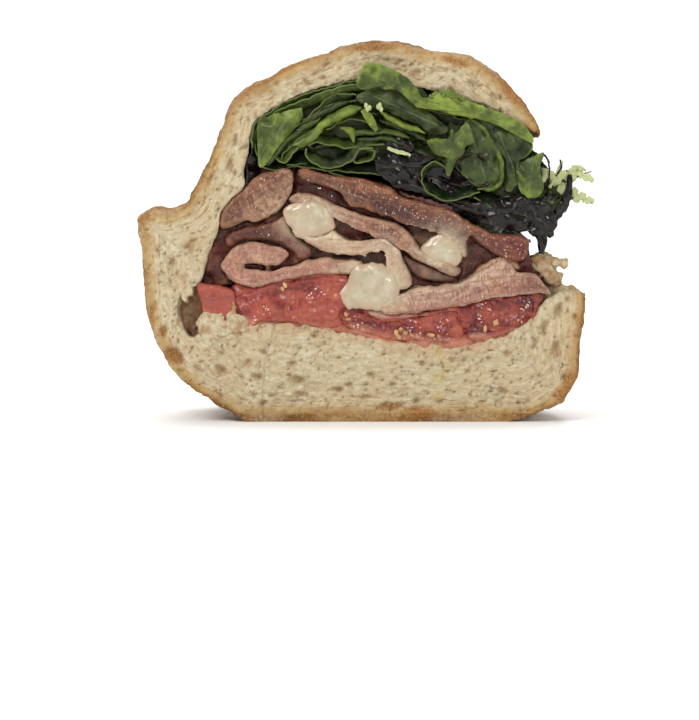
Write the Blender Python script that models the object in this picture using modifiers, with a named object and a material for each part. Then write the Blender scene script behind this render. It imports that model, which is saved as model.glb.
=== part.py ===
"""Half of a filled rustic roll, cut across and resting on its base crust.

The roll is slit along its right side and hinged on its left. Between its two lips lie tomato slices,
folded bacon, mayonnaise and mixed salad leaves, which all run back through the roll.

Sections are drawn at the cut face, as x to the right and z up, in millimetres from the middle of the
base. Depth runs back from the cut. Two rules carry a section back: one for the roll, which rounds off
at its end, and one for the pocket and all that lies in it, so that the layers stay nested.
"""

import math
import random

import bmesh
import bpy
import numpy as np
from mathutils import Vector, noise

MM = 0.001

# Driving sizes, in millimetres
HALF_DEPTH = 62.0  # cut face to the roll's rounded end
SEAM_HEIGHT = 20.0  # where the two lips would meet at the end
BASE_FLAT = 0.4  # points of the base this low rest on the table
POCKET_REACH = 68.0  # depth at which the pocket's width would close
END_GAP = 0.2  # share of the filling's height left at the end
FLOOR_HEIGHT = 16.0  # height that the filling presses down to
END_ROUND = 2.6  # superellipse power of the roll seen from above
TOP_ROUND = 2.4  # and of its top seen from the side
BASE_ROUND = 8.0  # and of its base seen from the side
STATION = 6.5  # step in depth shared by the pocket and the fillings
WAVE_HEIGHT = 1.1  # rise and fall of the layers along the depth
WAVE_SETS_IN = (12.0, 20.0)  # depth, and height above the pocket's floor, over which the waves set in
RISE_TURN = (0.19, 0.07)  # radians a millimetre of the rise and fall, along the depth and across
SWAY_TURN = (0.15, 0.06)  # and of the sway, along the depth and up
CRAG_HEIGHT = 1.0  # relief of the crust
CRAG_FOOT = 6.0  # height above the base over which the crags set in
CRUST_CRAGS = (9.0, 3.0)  # size of the crust's crags, and where their pattern starts
TEAR_CRAGS = (6.0, 11.0)  # the same of the torn crumb inside the pocket
SCRAP_CRAGS = (5.0, 23.0)  # and of the torn scrap on the bottom lip
TEAR_RELIEF = 0.5  # relief of the torn crumb inside the pocket
WALL_TEAR = -33.5  # x beyond which the hinge wall's tear closes behind the cut
TEAR_REACH = 40.0  # depth at which it has closed
STRIP_STEP = 3.4  # length of one step along a bacon strip
STRIP_END = 0.35  # reach of a strip's rounded end, as a share of its thickness
TUCK_DEPTH = 6.0  # depth over which a strip's end draws back
TOMATO_BACK = 0.97  # share of a tomato slice's rounding that its back end stops at
ROLL_BACK = 0.998  # and of the roll's depth that its last ring lies at
LEAF_THICKNESS = 0.9
LEAF_CUP = 0.25  # how far a leaf's edges bend back, as a share of its half width

# The roll's crust at the cut, from the left end of its resting face round over the top
ROLL_OUTLINE = [
    (-21.6, 0.0), (-28.5, 2.2), (-35.0, 5.6), (-40.5, 9.8), (-44.3, 15.0), (-46.8, 21.5),
    (-48.0, 30.0), (-48.4, 38.5), (-50.0, 44.5), (-48.3, 48.0), (-44.0, 47.3), (-38.8, 48.6),
    (-36.6, 53.0), (-33.0, 59.5), (-30.2, 67.0), (-28.3, 72.3), (-21.5, 76.8), (-12.0, 81.0),
    (-4.0, 84.5), (6.0, 85.5), (17.0, 83.6), (26.5, 81.3), (33.0, 76.5), (37.5, 71.0),
    (40.0, 66.5), (45.5, 52.0), (50.5, 36.0), (50.8, 27.5), (50.0, 18.0), (48.8, 9.5),
    (46.0, 4.0), (40.0, 2.2), (32.0, 0.0),
]

# The pocket between the lips: ceiling, the open side, floor, and the hinge wall with its tear
POCKET_OUTLINE = [
    (-22.5, 67.5), (-13.0, 73.2), (-3.0, 76.0), (8.0, 76.6), (17.0, 73.9), (26.0, 71.6),
    (33.0, 68.6), (39.0, 65.0), (47.0, 62.0), (64.0, 58.0), (64.0, 31.5), (49.5, 29.9),
    (43.5, 28.8), (40.0, 25.5), (37.5, 21.5), (29.0, 18.2), (20.0, 16.8), (8.0, 18.0),
    (-4.0, 20.3), (-14.0, 22.0), (-24.0, 21.8), (-33.0, 22.8), (-37.0, 18.2), (-40.0, 23.0),
    (-40.2, 28.4), (-36.0, 30.2), (-34.0, 34.5), (-33.2, 39.5), (-31.0, 43.0), (-31.0, 46.8),
    (-28.0, 49.8), (-25.2, 52.5), (-25.2, 57.0), (-23.8, 62.0),
]

# A scrap of crumb torn up from the bottom lip: centre and radii, in x, depth and z
TORN_CENTRE = (43.8, 12.0, 30.8)
TORN_RADII = (3.0, 6.0, 6.6)

# Tomato pieces: outline at the cut, then the depths of the front and back ends
TOMATOES = {
    "tomato_end": ([(-35.1, 30.3), (-28.2, 29.9), (-27.4, 26.5), (-28.9, 23.7), (-33.4, 24.2),
                    (-34.9, 27.0)], 0.3, 17.0),
    "tomato_left": ([(-26.1, 28.6), (-20.0, 30.3), (-13.0, 31.7), (-3.2, 31.8), (-1.9, 27.0),
                     (-2.8, 21.9), (-10.0, 22.7), (-18.0, 23.4), (-24.6, 23.4), (-26.4, 25.6)], 0.0, 50.0),
    "tomato_middle": ([(-0.6, 26.2), (7.5, 23.6), (14.0, 23.8), (21.6, 24.4), (22.3, 21.0), (21.0, 18.2),
                       (14.0, 18.9), (5.0, 20.2), (-0.9, 21.4)], 0.2, 52.0),
    "tomato_right": ([(23.4, 24.9), (28.0, 26.8), (33.0, 27.7), (38.2, 28.1), (38.4, 25.8), (36.0, 22.6),
                      (31.5, 20.6), (27.3, 19.1), (24.4, 18.6), (23.4, 20.8)], -0.4, 50.0),
}

# Bacon strips: centreline and thickness at the cut as (x, z, thickness), the depths of the front and
# back ends, and how far the strip's last end draws back into the roll behind the cut
BACON = {
    "bacon_bottom": ([(3.0, 27.2, 2.4), (9.0, 26.5, 3.4), (15.0, 27.6, 4.8), (21.5, 28.6, 5.2),
                      (27.5, 30.5, 5.4), (32.5, 32.3, 5.8), (38.0, 32.2, 5.0), (42.8, 31.6, 3.4)], -0.6, 52.0, 6.5),
    "bacon_left_fold": ([(-17.5, 37.6, 3.0), (-22.0, 38.6, 3.4), (-26.0, 38.2, 3.6), (-28.5, 35.8, 3.6),
                         (-26.8, 33.2, 3.6), (-23.0, 32.6, 3.6), (-18.5, 33.4, 3.6), (-13.5, 34.5, 3.4),
                         (-7.0, 35.1, 3.2), (-0.5, 34.9, 2.8)], -0.3, 50.0, 0.0),
    "bacon_third": ([(-12.2, 41.4, 1.6), (-10.0, 40.5, 2.2), (-7.3, 39.5, 2.8), (-2.0, 39.0, 3.0),
                     (1.6, 39.4, 2.9), (4.8, 40.1, 3.0), (7.0, 39.1, 3.1), (7.9, 36.4, 3.1),
                     (9.0, 33.8, 3.0), (10.4, 31.9, 2.6)], -0.7, 49.0, 0.0),
    "bacon_second": ([(-14.0, 50.6, 1.6), (-10.3, 49.5, 3.0), (-6.3, 48.0, 3.5), (-1.8, 46.1, 3.7),
                      (2.7, 44.6, 3.7), (6.7, 44.3, 3.5), (9.8, 42.5, 3.2), (11.8, 39.8, 3.0),
                      (14.3, 37.9, 3.0), (17.6, 36.3, 2.8), (21.8, 34.9, 2.2)], -0.5, 51.0, 0.0),
    "bacon_dark": ([(11.8, 35.5, 1.8), (13.4, 34.1, 2.1), (16.4, 33.2, 2.1), (20.3, 32.6, 1.6)], 1.4, 46.0, 0.0),
    "bacon_top": ([(-12.4, 56.2, 1.8), (-8.1, 54.6, 2.6), (-3.6, 52.5, 3.8), (0.9, 51.0, 4.8), (6.3, 50.1, 4.9),
                   (11.0, 48.0, 4.9), (15.0, 46.3, 4.9), (19.6, 45.5, 4.8), (23.0, 43.6, 4.4), (27.5, 41.1, 3.9),
                   (31.3, 39.4, 4.7), (34.7, 38.9, 5.2), (38.0, 38.7, 5.0)], -0.8, 52.0, 3.0),
    "bacon_upper_left": ([(-15.6, 53.4, 3.2), (-19.0, 51.8, 4.8), (-22.5, 49.6, 5.0), (-25.6, 47.2, 4.4),
                          (-27.8, 45.3, 2.6)], -0.2, 48.0, 0.0),
    "bacon_left_red": ([(-28.4, 41.9, 2.0), (-24.8, 42.4, 3.0), (-19.8, 42.8, 3.2), (-16.0, 41.2, 2.8),
                        (-13.7, 39.0, 1.8)], 1.8, 46.0, 0.0),
}

# Mayonnaise between the strips: centre (x, depth, z), radii, and the tilt of its long side in degrees
MAYONNAISE = {
    "mayonnaise_left": [((-11.5, 2.0, 45.0), (4.4, 4.0, 2.4), 12.0)],
    "mayonnaise_right": [((18.6, 2.0, 40.5), (3.1, 4.0, 2.1), 10.0)],
    "mayonnaise_middle": [((4.7, 2.0, 31.5), (2.8, 5.0, 2.4), 0.0), ((4.6, -2.9, 31.0), (4.4, 1.7, 4.0), 0.0)],
}

# The salad's core, set in from its outer leaves, and the depths of its ends
SALAD_CORE = [
    (-19.5, 64.5), (-12.0, 69.5), (-3.0, 72.4), (7.0, 72.8), (16.0, 70.2), (25.0, 67.8), (32.0, 64.2),
    (36.5, 58.0), (38.0, 50.0), (35.0, 45.6), (27.0, 46.9), (20.5, 51.5), (12.0, 53.2), (5.0, 55.8),
    (-4.0, 58.0), (-12.0, 60.3), (-18.0, 60.0),
]
CORE_DEPTHS = (2.5, 52.0)

# Leaves seen edge on at the cut: their edge as (x, z), and how deep each reaches
LEAF_EDGES = {
    "upper": ([(-21.0, 65.7), (-18.0, 68.0), (-13.0, 70.7), (-7.5, 72.6), (-2.2, 73.8), (3.5, 74.3)], 44.0),
    "right": ([(14.5, 72.0), (20.5, 71.2), (25.2, 69.8), (32.0, 66.8), (37.5, 63.2), (40.4, 60.0),
               (41.2, 56.0), (40.0, 52.0)], 48.0),
    "left_fold": ([(-21.8, 64.0), (-21.8, 61.0), (-21.0, 58.4), (-18.5, 60.6), (-15.0, 63.6), (-12.0, 66.3),
                   (-7.0, 69.4), (-2.0, 71.3)], 6.0),
    "middle": ([(-18.0, 59.0), (-16.0, 58.8), (-13.5, 61.3), (-11.0, 63.0), (-7.5, 65.5), (-3.0, 68.2),
                (2.5, 69.6), (7.5, 68.4), (12.5, 66.0)], 6.0),
    "loop": ([(-10.5, 58.2), (-11.2, 60.6), (-8.0, 62.2), (-2.5, 61.6), (2.5, 62.0), (7.5, 63.4), (12.0, 63.4),
              (15.5, 61.8)], 6.0),
    "ring": ([(14.0, 55.6), (15.0, 58.0), (18.5, 59.0), (22.0, 57.6), (25.3, 54.4), (27.3, 51.8), (25.0, 50.2),
              (20.5, 49.8), (16.6, 51.2)], 6.0),
    "curl": ([(24.8, 68.0), (28.6, 64.0), (31.3, 60.8), (32.4, 56.7), (31.5, 53.0), (28.6, 51.4)], 6.0),
}

# Leaves that stand clear: midrib as (x, depth, z), half width, the way the leaf faces, and its teeth
TO_FRONT = (0.0, -1.0, 0.0)
LEAF_BLADES = {
    "top": ([(16.0, 4.0, 66.5), (14.0, -2.0, 71.0), (8.0, -2.8, 76.3), (1.5, -3.0, 79.4)], 3.6, TO_FRONT, 0.0),
    "star": ([(24.5, 4.0, 63.0), (24.6, -2.0, 66.0), (21.8, -2.8, 63.5), (19.6, -3.0, 56.3)], 5.2, TO_FRONT, 0.45),
    "bright": ([(-20.6, 3.5, 61.0), (-20.4, -0.8, 61.5), (-18.2, -1.6, 65.2), (-12.0, 0.6, 69.6)], 3.4, TO_FRONT, 0.0),
    "olive": ([(35.0, 6.0, 60.0), (37.6, 1.0, 57.5), (39.6, 0.0, 52.5), (41.6, 0.5, 47.6)], 3.2, TO_FRONT, 0.4),
    "pale_upper": ([(35.5, 8.0, 54.0), (42.0, 6.5, 54.2), (48.0, 6.0, 54.9), (53.2, 6.0, 56.4)], 2.6, TO_FRONT, 0.5),
    "pale_lower": ([(35.5, 9.0, 52.0), (42.0, 7.5, 51.8), (48.0, 7.0, 50.8), (53.4, 7.0, 48.6)], 2.2, TO_FRONT, 0.5),
    "purple_tip": ([(35.0, 5.0, 48.0), (41.6, 3.0, 46.4), (45.8, 2.6, 50.0), (48.0, 2.4, 56.4)], 2.0, TO_FRONT, 0.3),
    "purple_drape": ([(30.0, 4.5, 48.6), (34.5, 0.6, 46.4), (39.6, 0.2, 45.0), (44.6, 1.0, 44.8)], 3.0, TO_FRONT, 0.0),
    "purple_drop": ([(37.0, 4.0, 47.5), (41.2, 1.6, 45.0), (41.8, 1.2, 41.0), (41.6, 1.4, 37.4)], 1.6, TO_FRONT, 0.0),
}

# Leaves that hang out of the open side behind the cut
SIDE_LEAF_DEPTHS = (15.0, 23.0, 31.0, 39.0, 47.0)
SIDE_LEAF_ROOT = (34.0, 56.0)
SIDE_LEAF_TIP = (47.5, 49.5)
END_LEAF_PLACES = (-4.0, 9.0, 22.0)
END_LEAF_REACH = (45.0, 55.0, 60.5)

COLOURS = {
    "bread": ((0.76, 0.64, 0.43, 1.0), 0.85),
    "tomato": ((0.62, 0.11, 0.07, 1.0), 0.25),
    "bacon": ((0.55, 0.30, 0.24, 1.0), 0.4),
    "mayonnaise": ((0.85, 0.84, 0.70, 1.0), 0.3),
    "salad": ((0.10, 0.20, 0.04, 1.0), 0.45),
}


def clear_scene():
    for item in list(bpy.data.objects):
        bpy.data.objects.remove(item)


def collection(name):
    made = bpy.data.collections.new(name)
    bpy.context.scene.collection.children.link(made)
    return made


def finish_of(kind):
    """The kind's material, made once."""
    found = bpy.data.materials.get(kind)
    if found:
        return found
    colour, roughness = COLOURS[kind]
    made = bpy.data.materials.new(kind)
    made.use_nodes = True
    shader = made.node_tree.nodes["Principled BSDF"]
    shader.inputs["Base Color"].default_value = colour
    shader.inputs["Roughness"].default_value = roughness
    shader.inputs["Metallic"].default_value = 0.0
    return made


def smooth_run(points, closed):
    """A Catmull-Rom curve through the points, eight short steps to each span."""
    given = np.array(points, float)
    count = len(given)
    steps = np.linspace(0.0, 1.0, 8, endpoint=False)[:, None]
    runs = []
    for i in range(count if closed else count - 1):
        around = [(i + k) % count if closed else min(max(i + k, 0), count - 1) for k in (-1, 0, 1, 2)]
        before, start, end, after = given[around]
        runs.append(0.5 * (2 * start + (end - before) * steps
                           + (2 * before - 5 * start + 4 * end - after) * steps**2
                           + (3 * start - before - 3 * end + after) * steps**3))
    if not closed:
        runs.append(given[-1:])
    return np.vstack(runs)


def evenly(points, count, closed):
    """The curve through the points, read at evenly spaced places."""
    run = smooth_run(points, closed)
    if closed:
        run = np.vstack([run, run[:1]])
    along = np.concatenate([[0.0], np.cumsum(np.linalg.norm(np.diff(run[:, :2], axis=0), axis=1))])
    places = np.linspace(0.0, along[-1], count, endpoint=not closed)
    return np.stack([np.interp(places, along, run[:, k]) for k in range(run.shape[1])], axis=1)


def narrowing(depth, reach, power):
    """The share of a width that a superellipse leaves at a depth."""
    share = min(max(depth / reach, 0.0), 1.0)
    return (1 - share**power) ** (1 / power)


def in_roll(x, depth, z):
    """Where a point of the crust's section lies at a depth."""
    rise = narrowing(depth, HALF_DEPTH, TOP_ROUND if z > SEAM_HEIGHT else BASE_ROUND)
    height = SEAM_HEIGHT + (z - SEAM_HEIGHT) * rise
    return Vector((x * narrowing(depth, HALF_DEPTH, END_ROUND), depth, height))


def in_pocket(x, depth, z):
    """Where a point of the pocket or of a filling lies at a depth: all of them share this."""
    share = min(max(depth / HALF_DEPTH, 0.0), 1.1)
    lift = z - FLOOR_HEIGHT
    ramp = min(max(depth / WAVE_SETS_IN[0], 0.0), 1.0)
    wave = WAVE_HEIGHT * ramp * min(max(lift / WAVE_SETS_IN[1], 0.0), 1.0)
    up = wave * math.sin(depth * RISE_TURN[0] + x * RISE_TURN[1])
    across = wave * math.sin(depth * SWAY_TURN[0] + z * SWAY_TURN[1])
    width = narrowing(depth, POCKET_REACH, END_ROUND)
    height = FLOOR_HEIGHT + lift * (1 - (1 - END_GAP) * min(share, 1.0) ** 3) + up
    return Vector((x * width + across, depth, height))


def stations(front, back):
    """Depths from front to back, at the shared steps between them."""
    steps = [STATION * i for i in range(1, 12)]
    return [front] + [step for step in steps if front + 1.5 < step < back - 1.5] + [back]


def to_frame(point):
    """A point in millimetres from the cut, in the row's frame in metres, with the depth centred."""
    return Vector((point[0], point[1] - HALF_DEPTH / 2, point[2])) * MM


def mesh_object(name, kind, bm, group):
    bmesh.ops.recalc_face_normals(bm, faces=bm.faces)
    mesh = bpy.data.meshes.new(name)
    bm.to_mesh(mesh)
    bm.free()
    made = bpy.data.objects.new(name, mesh)
    made.data.materials.append(finish_of(kind))
    group.objects.link(made)
    return made


def loft(rings):
    """A closed mesh through rings of points, one after the other, with a flat cap at each end."""
    bm = bmesh.new()
    made = [[bm.verts.new(to_frame(p)) for p in ring] for ring in rings]
    for near, far in zip(made, made[1:]):
        for i, vert in enumerate(near):
            after = (i + 1) % len(near)
            bm.faces.new((vert, near[after], far[after], far[i]))
    bm.faces.new(made[0])
    bm.faces.new(made[-1])
    return bm


def crag(point, size, seed):
    """Relief between -1 and 1, whose bumps are about the given size in millimetres."""
    return noise.fractal((point / MM) / size + Vector((seed, 0.0, 0.0)), 0.7, 2.1, 3)


def roll_body(group):
    """The whole roll without its pocket: rings of the crust, with crags, and a flat to rest on."""
    outline = evenly(ROLL_OUTLINE, 72, True)
    outline[:, 1] = np.maximum(outline[:, 1], 0.0)
    depths = [HALF_DEPTH * math.sin(math.pi / 2 * i / 16) for i in range(16)] + [HALF_DEPTH * ROLL_BACK]
    bm = loft([[in_roll(x, depth, z) for x, z in outline] for depth in depths])
    bmesh.ops.recalc_face_normals(bm, faces=bm.faces)
    bm.normal_update()
    moves = []
    for vert in bm.verts:
        out = vert.normal.copy()
        if vert.co.y < to_frame((0, 0.1, 0)).y:
            out.y = 0.0
        fade = min(vert.co.z / (CRAG_FOOT * MM), 1.0)
        fade *= narrowing(vert.co.y / MM + HALF_DEPTH / 2, HALF_DEPTH, END_ROUND)
        moves.append((vert, out * crag(vert.co, *CRUST_CRAGS) * CRAG_HEIGHT * MM * fade))
    for vert, move in moves:
        vert.co += move
        if vert.co.z < BASE_FLAT * MM:
            vert.co.z = 0.0
    return mesh_object("bread_roll", "bread", bm, group)


def pocket_cutter(group):
    """What the filling takes from the roll, a little wider where the crumb is torn."""
    outline = evenly(POCKET_OUTLINE, 76, True)
    depths = [-4.0] + stations(0.0, HALF_DEPTH + 5.0)
    rings = []
    for depth in depths:
        torn = 1 - min(max(depth / TEAR_REACH, 0.0), 1.0)
        rings.append([in_pocket(x if x > WALL_TEAR else WALL_TEAR + (x - WALL_TEAR) * torn, depth, z)
                      for x, z in outline])
    bm = loft(rings)
    bmesh.ops.recalc_face_normals(bm, faces=bm.faces)
    bm.normal_update()
    moves = [(v, Vector((v.normal.x, 0.0, v.normal.z))) for v in bm.verts]
    for vert, out in moves:
        vert.co += out * (0.5 + 0.5 * crag(vert.co, *TEAR_CRAGS)) * TEAR_RELIEF * MM
    return mesh_object("pocket_cutter", "bread", bm, group)


def ellipsoid(name, kind, centre, radii, tilt, group, segments=12, rings=8):
    bm = bmesh.new()
    bmesh.ops.create_uvsphere(bm, u_segments=segments, v_segments=rings, radius=1.0)
    turn = math.radians(tilt)
    for vert in bm.verts:
        x, y, z = (vert.co[k] * radii[k] for k in range(3))
        across = x * math.cos(turn) + z * math.sin(turn)
        up = z * math.cos(turn) - x * math.sin(turn)
        vert.co = to_frame((centre[0] + across, centre[1] + y, centre[2] + up))
    return mesh_object(name, kind, bm, group)


def boolean(body, operation, operand, solver="EXACT"):
    """Applies one Boolean to the body, with an object or a whole collection."""
    step = body.modifiers.new(operation.lower(), "BOOLEAN")
    step.operation = operation
    step.solver = solver
    if isinstance(operand, bpy.types.Collection):
        step.operand_type = "COLLECTION"
        step.collection = operand
    else:
        step.object = operand
    bpy.context.view_layer.update()
    graph = bpy.context.evaluated_depsgraph_get()
    made = bpy.data.meshes.new_from_object(body.evaluated_get(graph))
    body.modifiers.clear()
    body.data = made
    return body


def drop_scraps(body):
    """Keeps the largest of the body's separate shells, and welds what a cut left nearly touching."""
    bm = bmesh.new()
    bm.from_mesh(body.data)
    bmesh.ops.remove_doubles(bm, verts=bm.verts, dist=1e-6)
    left, shells = set(bm.verts), []
    while left:
        queue, shell = [left.pop()], []
        while queue:
            vert = queue.pop()
            shell.append(vert)
            for edge in vert.link_edges:
                other = edge.other_vert(vert)
                if other in left:
                    left.discard(other)
                    queue.append(other)
        shells.append(shell)
    keep = max(shells, key=len)
    bmesh.ops.delete(bm, geom=[v for shell in shells if shell is not keep for v in shell], context="VERTS")
    bm.to_mesh(body.data)
    bm.free()


def make_roll(group):
    """The hinged roll: its body less the pocket, with the torn scrap on its bottom lip."""
    helpers = collection("roll_cutters")
    body = roll_body(group)
    boolean(body, "DIFFERENCE", pocket_cutter(helpers))
    torn = ellipsoid("torn_crumb", "bread", TORN_CENTRE, TORN_RADII, 0.0, helpers)
    for vert in torn.data.vertices:
        vert.co += vert.normal * crag(vert.co, *SCRAP_CRAGS) * MM
    boolean(body, "UNION", torn)
    drop_scraps(body)
    for helper in list(helpers.objects):
        bpy.data.objects.remove(helper)
    return body


def strip_outline(centre, tuck):
    """The closed outline of a strip: both sides of its centreline, with blunt rounded ends."""
    run = centre.copy()
    along = np.linspace(0.0, 1.0, len(run))
    run[:, 0] -= tuck * along**4
    heading = np.gradient(run[:, :2], axis=0)
    heading /= np.linalg.norm(heading, axis=1)[:, None]
    side = np.stack([-heading[:, 1], heading[:, 0]], axis=1) * run[:, 2:] / 2
    last = run[-1, :2] + heading[-1] * run[-1, 2] * STRIP_END
    first = run[0, :2] - heading[0] * run[0, 2] * STRIP_END
    middle = run[:, :2]
    return np.vstack([middle + side, last, (middle - side)[::-1], first])


def make_strip(name, line, front, back, tuck, group):
    """A bacon strip, as one folded ribbon that runs back through the pocket."""
    length = np.linalg.norm(np.diff(np.array(line)[:, :2], axis=0), axis=1).sum()
    centre = evenly(line, max(6, round(length / STRIP_STEP)), False)
    rings = []
    for depth in stations(front, back):
        drawn = tuck * min(max(depth / TUCK_DEPTH, 0.0), 1.0)
        rings.append([in_pocket(x, depth, z) for x, z in strip_outline(centre, drawn)])
    return mesh_object(name, "bacon", loft(rings), group)


def make_tomato(name, outline, front, back, group):
    """A tomato slice seen on its cut edge, rounding off at the back."""
    ring = evenly(outline, 16, True)
    middle = ring.mean(axis=0)
    rings = []
    for depth in stations(front, back):
        share = narrowing(min(depth - front, TOMATO_BACK * (back - front)), back - front, TOP_ROUND)
        rings.append([in_pocket(x, depth, z) for x, z in middle + (ring - middle) * share])
    return mesh_object(name, "tomato", loft(rings), group)


def make_mayonnaise(name, lumps, group):
    """One dollop, of one or two lumps grown together."""
    parts = [ellipsoid(f"{name}_{i}", "mayonnaise", *lump, group) for i, lump in enumerate(lumps)]
    body = parts[0]
    for other in parts[1:]:
        boolean(body, "UNION", other)
        bpy.data.objects.remove(other)
    body.name = name
    return body


def leaf_from_grid(name, points, group):
    """A thin closed leaf through a grid of points, both faces split into triangles alike."""
    rows, columns = len(points), len(points[0])
    bm = bmesh.new()
    verts = [[bm.verts.new(to_frame(p)) for p in row] for row in points]
    for i in range(rows - 1):
        for j in range(columns - 1):
            bm.faces.new((verts[i][j], verts[i + 1][j], verts[i + 1][j + 1], verts[i][j + 1]))
    bmesh.ops.triangulate(bm, faces=bm.faces)
    made = mesh_object(name, "salad", bm, group)
    wall = made.modifiers.new("thickness", "SOLIDIFY")
    wall.thickness = LEAF_THICKNESS * MM
    wall.offset = 0.0
    wall.use_even_offset = False
    return made


def edge_leaf(name, edge, reach, group):
    """A leaf seen edge on at the cut, running back from it in low waves."""
    run = evenly(edge, 10, False)
    rows = [[in_pocket(x, depth, z) for x, z in run] for depth in stations(-1.0, reach)]
    return leaf_from_grid(name, rows, group)


def leaf_width(share, half_width):
    """Half the leaf's width at a share of its length: narrow at the root, pointed at the tip."""
    return half_width * (0.12 + 0.88 * math.sin(math.pi * min(0.08 + 0.92 * share, 1.0)) ** 0.8)


def blade_leaf(name, midrib, half_width, facing, teeth, group, columns=2, rows=6):
    """A free leaf about its midrib, with a toothed edge where teeth is over 0."""
    rib = evenly(midrib, rows + 1, False)
    heading = np.gradient(rib, axis=0)
    grid = []
    for i, (place, along) in enumerate(zip(rib, heading)):
        side = Vector(along).cross(Vector(facing)).normalized()
        width = leaf_width(i / rows, half_width) * (1 - teeth * (i % 2))
        row = []
        for j in range(columns + 1):
            across = 2 * j / columns - 1
            cup = -LEAF_CUP * half_width * across * across
            row.append(Vector(place) + side * across * width + Vector(facing) * cup)
        grid.append(row)
    return leaf_from_grid(name, grid, group)


def hanging_leaves(group):
    """The leaves that show at the open side and at the roll's end, unalike by a seeded draw."""
    draw = random.Random(7)
    for i, depth in enumerate(SIDE_LEAF_DEPTHS):
        root = in_pocket(SIDE_LEAF_ROOT[0], depth, SIDE_LEAF_ROOT[1])
        tip = in_pocket(SIDE_LEAF_TIP[0], depth + draw.uniform(-3, 3), SIDE_LEAF_TIP[1] + draw.uniform(-4, 5))
        middle = (root + tip) / 2 + Vector((0.0, 0.0, 2.0))
        blade_leaf(f"side_{i}", [root, middle, tip], 5.0, (-0.2, 0.0, 0.98), 0.25, group)
    inside, lip, outside = END_LEAF_REACH
    for i, x in enumerate(END_LEAF_PLACES):
        root = in_pocket(x, inside, 66.0)
        middle = in_pocket(x + draw.uniform(-2, 2), lip, 62.0)
        tip = in_pocket(x + draw.uniform(-2, 2), outside, 56.0)
        blade_leaf(f"end_{i}", [root, middle, tip], 4.5, (0.0, 0.2, 0.98), 0.25, group)


def make_salad(group):
    """The heap of leaves: its core with the leaves that show, joined to one solid."""
    leaves = collection("salad_leaves")
    ring = evenly(SALAD_CORE, 26, True)
    core = loft([[in_pocket(x, depth, z) for x, z in ring] for depth in stations(*CORE_DEPTHS)])
    body = mesh_object("salad", "salad", core, group)
    for name, (edge, reach) in LEAF_EDGES.items():
        edge_leaf(f"edge_{name}", edge, reach, leaves)
    for name, (midrib, half_width, facing, teeth) in LEAF_BLADES.items():
        blade_leaf(f"blade_{name}", midrib, half_width, facing, teeth, leaves)
    hanging_leaves(leaves)
    boolean(body, "UNION", leaves, "MANIFOLD")
    drop_scraps(body)
    for leaf in list(leaves.objects):
        bpy.data.objects.remove(leaf)
    return body


def main():
    clear_scene()
    sandwich = collection("sandwich_half")
    made = [make_roll(sandwich), make_salad(sandwich)]
    for name, (outline, front, back) in TOMATOES.items():
        made.append(make_tomato(name, outline, front, back, sandwich))
    for name, (line, front, back, tuck) in BACON.items():
        made.append(make_strip(name, line, front, back, tuck, sandwich))
    for name, lumps in MAYONNAISE.items():
        made.append(make_mayonnaise(name, lumps, sandwich))
    for item in made:
        item.data.shade_smooth()


if __name__ == "__main__":
    main()
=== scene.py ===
"""Half of a filled rustic roll on a pale floor: crust, crumb, bacon, tomato, mayonnaise and leaves.

Sections are in millimetres: x to the right, z up, and depth back from the cut face.
"""

import math
import random

import bmesh
import bpy
import numpy as np
from bpy.props import FloatProperty, FloatVectorProperty, IntProperty, PointerProperty
from mathutils import Matrix, Vector, kdtree


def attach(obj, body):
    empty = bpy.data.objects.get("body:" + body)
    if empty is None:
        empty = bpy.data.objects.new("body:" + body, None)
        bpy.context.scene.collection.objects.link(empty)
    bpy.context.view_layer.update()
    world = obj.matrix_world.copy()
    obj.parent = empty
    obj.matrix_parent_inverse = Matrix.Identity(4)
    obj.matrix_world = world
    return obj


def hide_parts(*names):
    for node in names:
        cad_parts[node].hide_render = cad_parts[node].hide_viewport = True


bl_info = {
    "name": "Filled roll half",
    "version": (1, 0, 0),
    "blender": (4, 5, 0),
    "location": "3D View > Sidebar > Sandwich",
    "description": "Dresses the half roll and its filling, and sets the stage",
    "category": "Object",
}

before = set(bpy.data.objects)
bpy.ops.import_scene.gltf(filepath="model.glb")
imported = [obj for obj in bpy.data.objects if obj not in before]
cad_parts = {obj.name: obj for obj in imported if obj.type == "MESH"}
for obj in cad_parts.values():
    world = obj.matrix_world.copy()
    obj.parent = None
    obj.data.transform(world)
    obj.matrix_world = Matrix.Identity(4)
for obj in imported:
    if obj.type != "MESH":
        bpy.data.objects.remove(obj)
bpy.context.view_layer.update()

MM = 0.001
HALF_DEPTH = 62.0  # cut face to the roll's rounded end
POCKET_REACH = 68.0  # depth at which the pocket's width would close
END_ROUND = 2.6  # superellipse power of the pocket seen from above
END_GAP = 0.2  # share of the filling's height left at the end
FLOOR_HEIGHT = 16.0  # height that the filling presses down to
WAVE_HEIGHT = 1.1  # rise and fall of the layers along the depth
WAVE_SETS_IN = (12.0, 20.0)  # depth, and height above the floor, over which the waves set in
SWAY_TURN = (0.15, 0.06)  # radians a millimetre of the sway, along the depth and up
RISE_TURN = (0.19, 0.07)  # and of the rise and fall, along the depth and across
SEAM_HEIGHT = 20.0  # where the two lips would meet at the end
TOP_ROUND = 2.4  # superellipse power of the roll's top seen from the side
BASE_ROUND = 8.0  # and of its base
CUT_BAND = 0.55  # points this close to the cut plane belong to the cut face
OUTLINE_STEPS = 1600  # places at which the roll's outlines are compared with its points
SECTION_STEPS = 700  # and the same for the sections of the filling
LINE_STEPS = 500  # and for the run of a rasher's fibres
EDGE_LEAF_FRONT, FACE_LEAF_FRONT = -4.2, -4.3  # leaves come no further in front of the cut
BEADS_A_BATCH = 30  # beads made in one small mesh before they join the rest
SPOTS_A_BEAD = 9  # one place in this many may take a bead
NO_DEPTH = (1.0, 0.0, 1.0)  # keeps a pattern the same all along the depth
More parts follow.
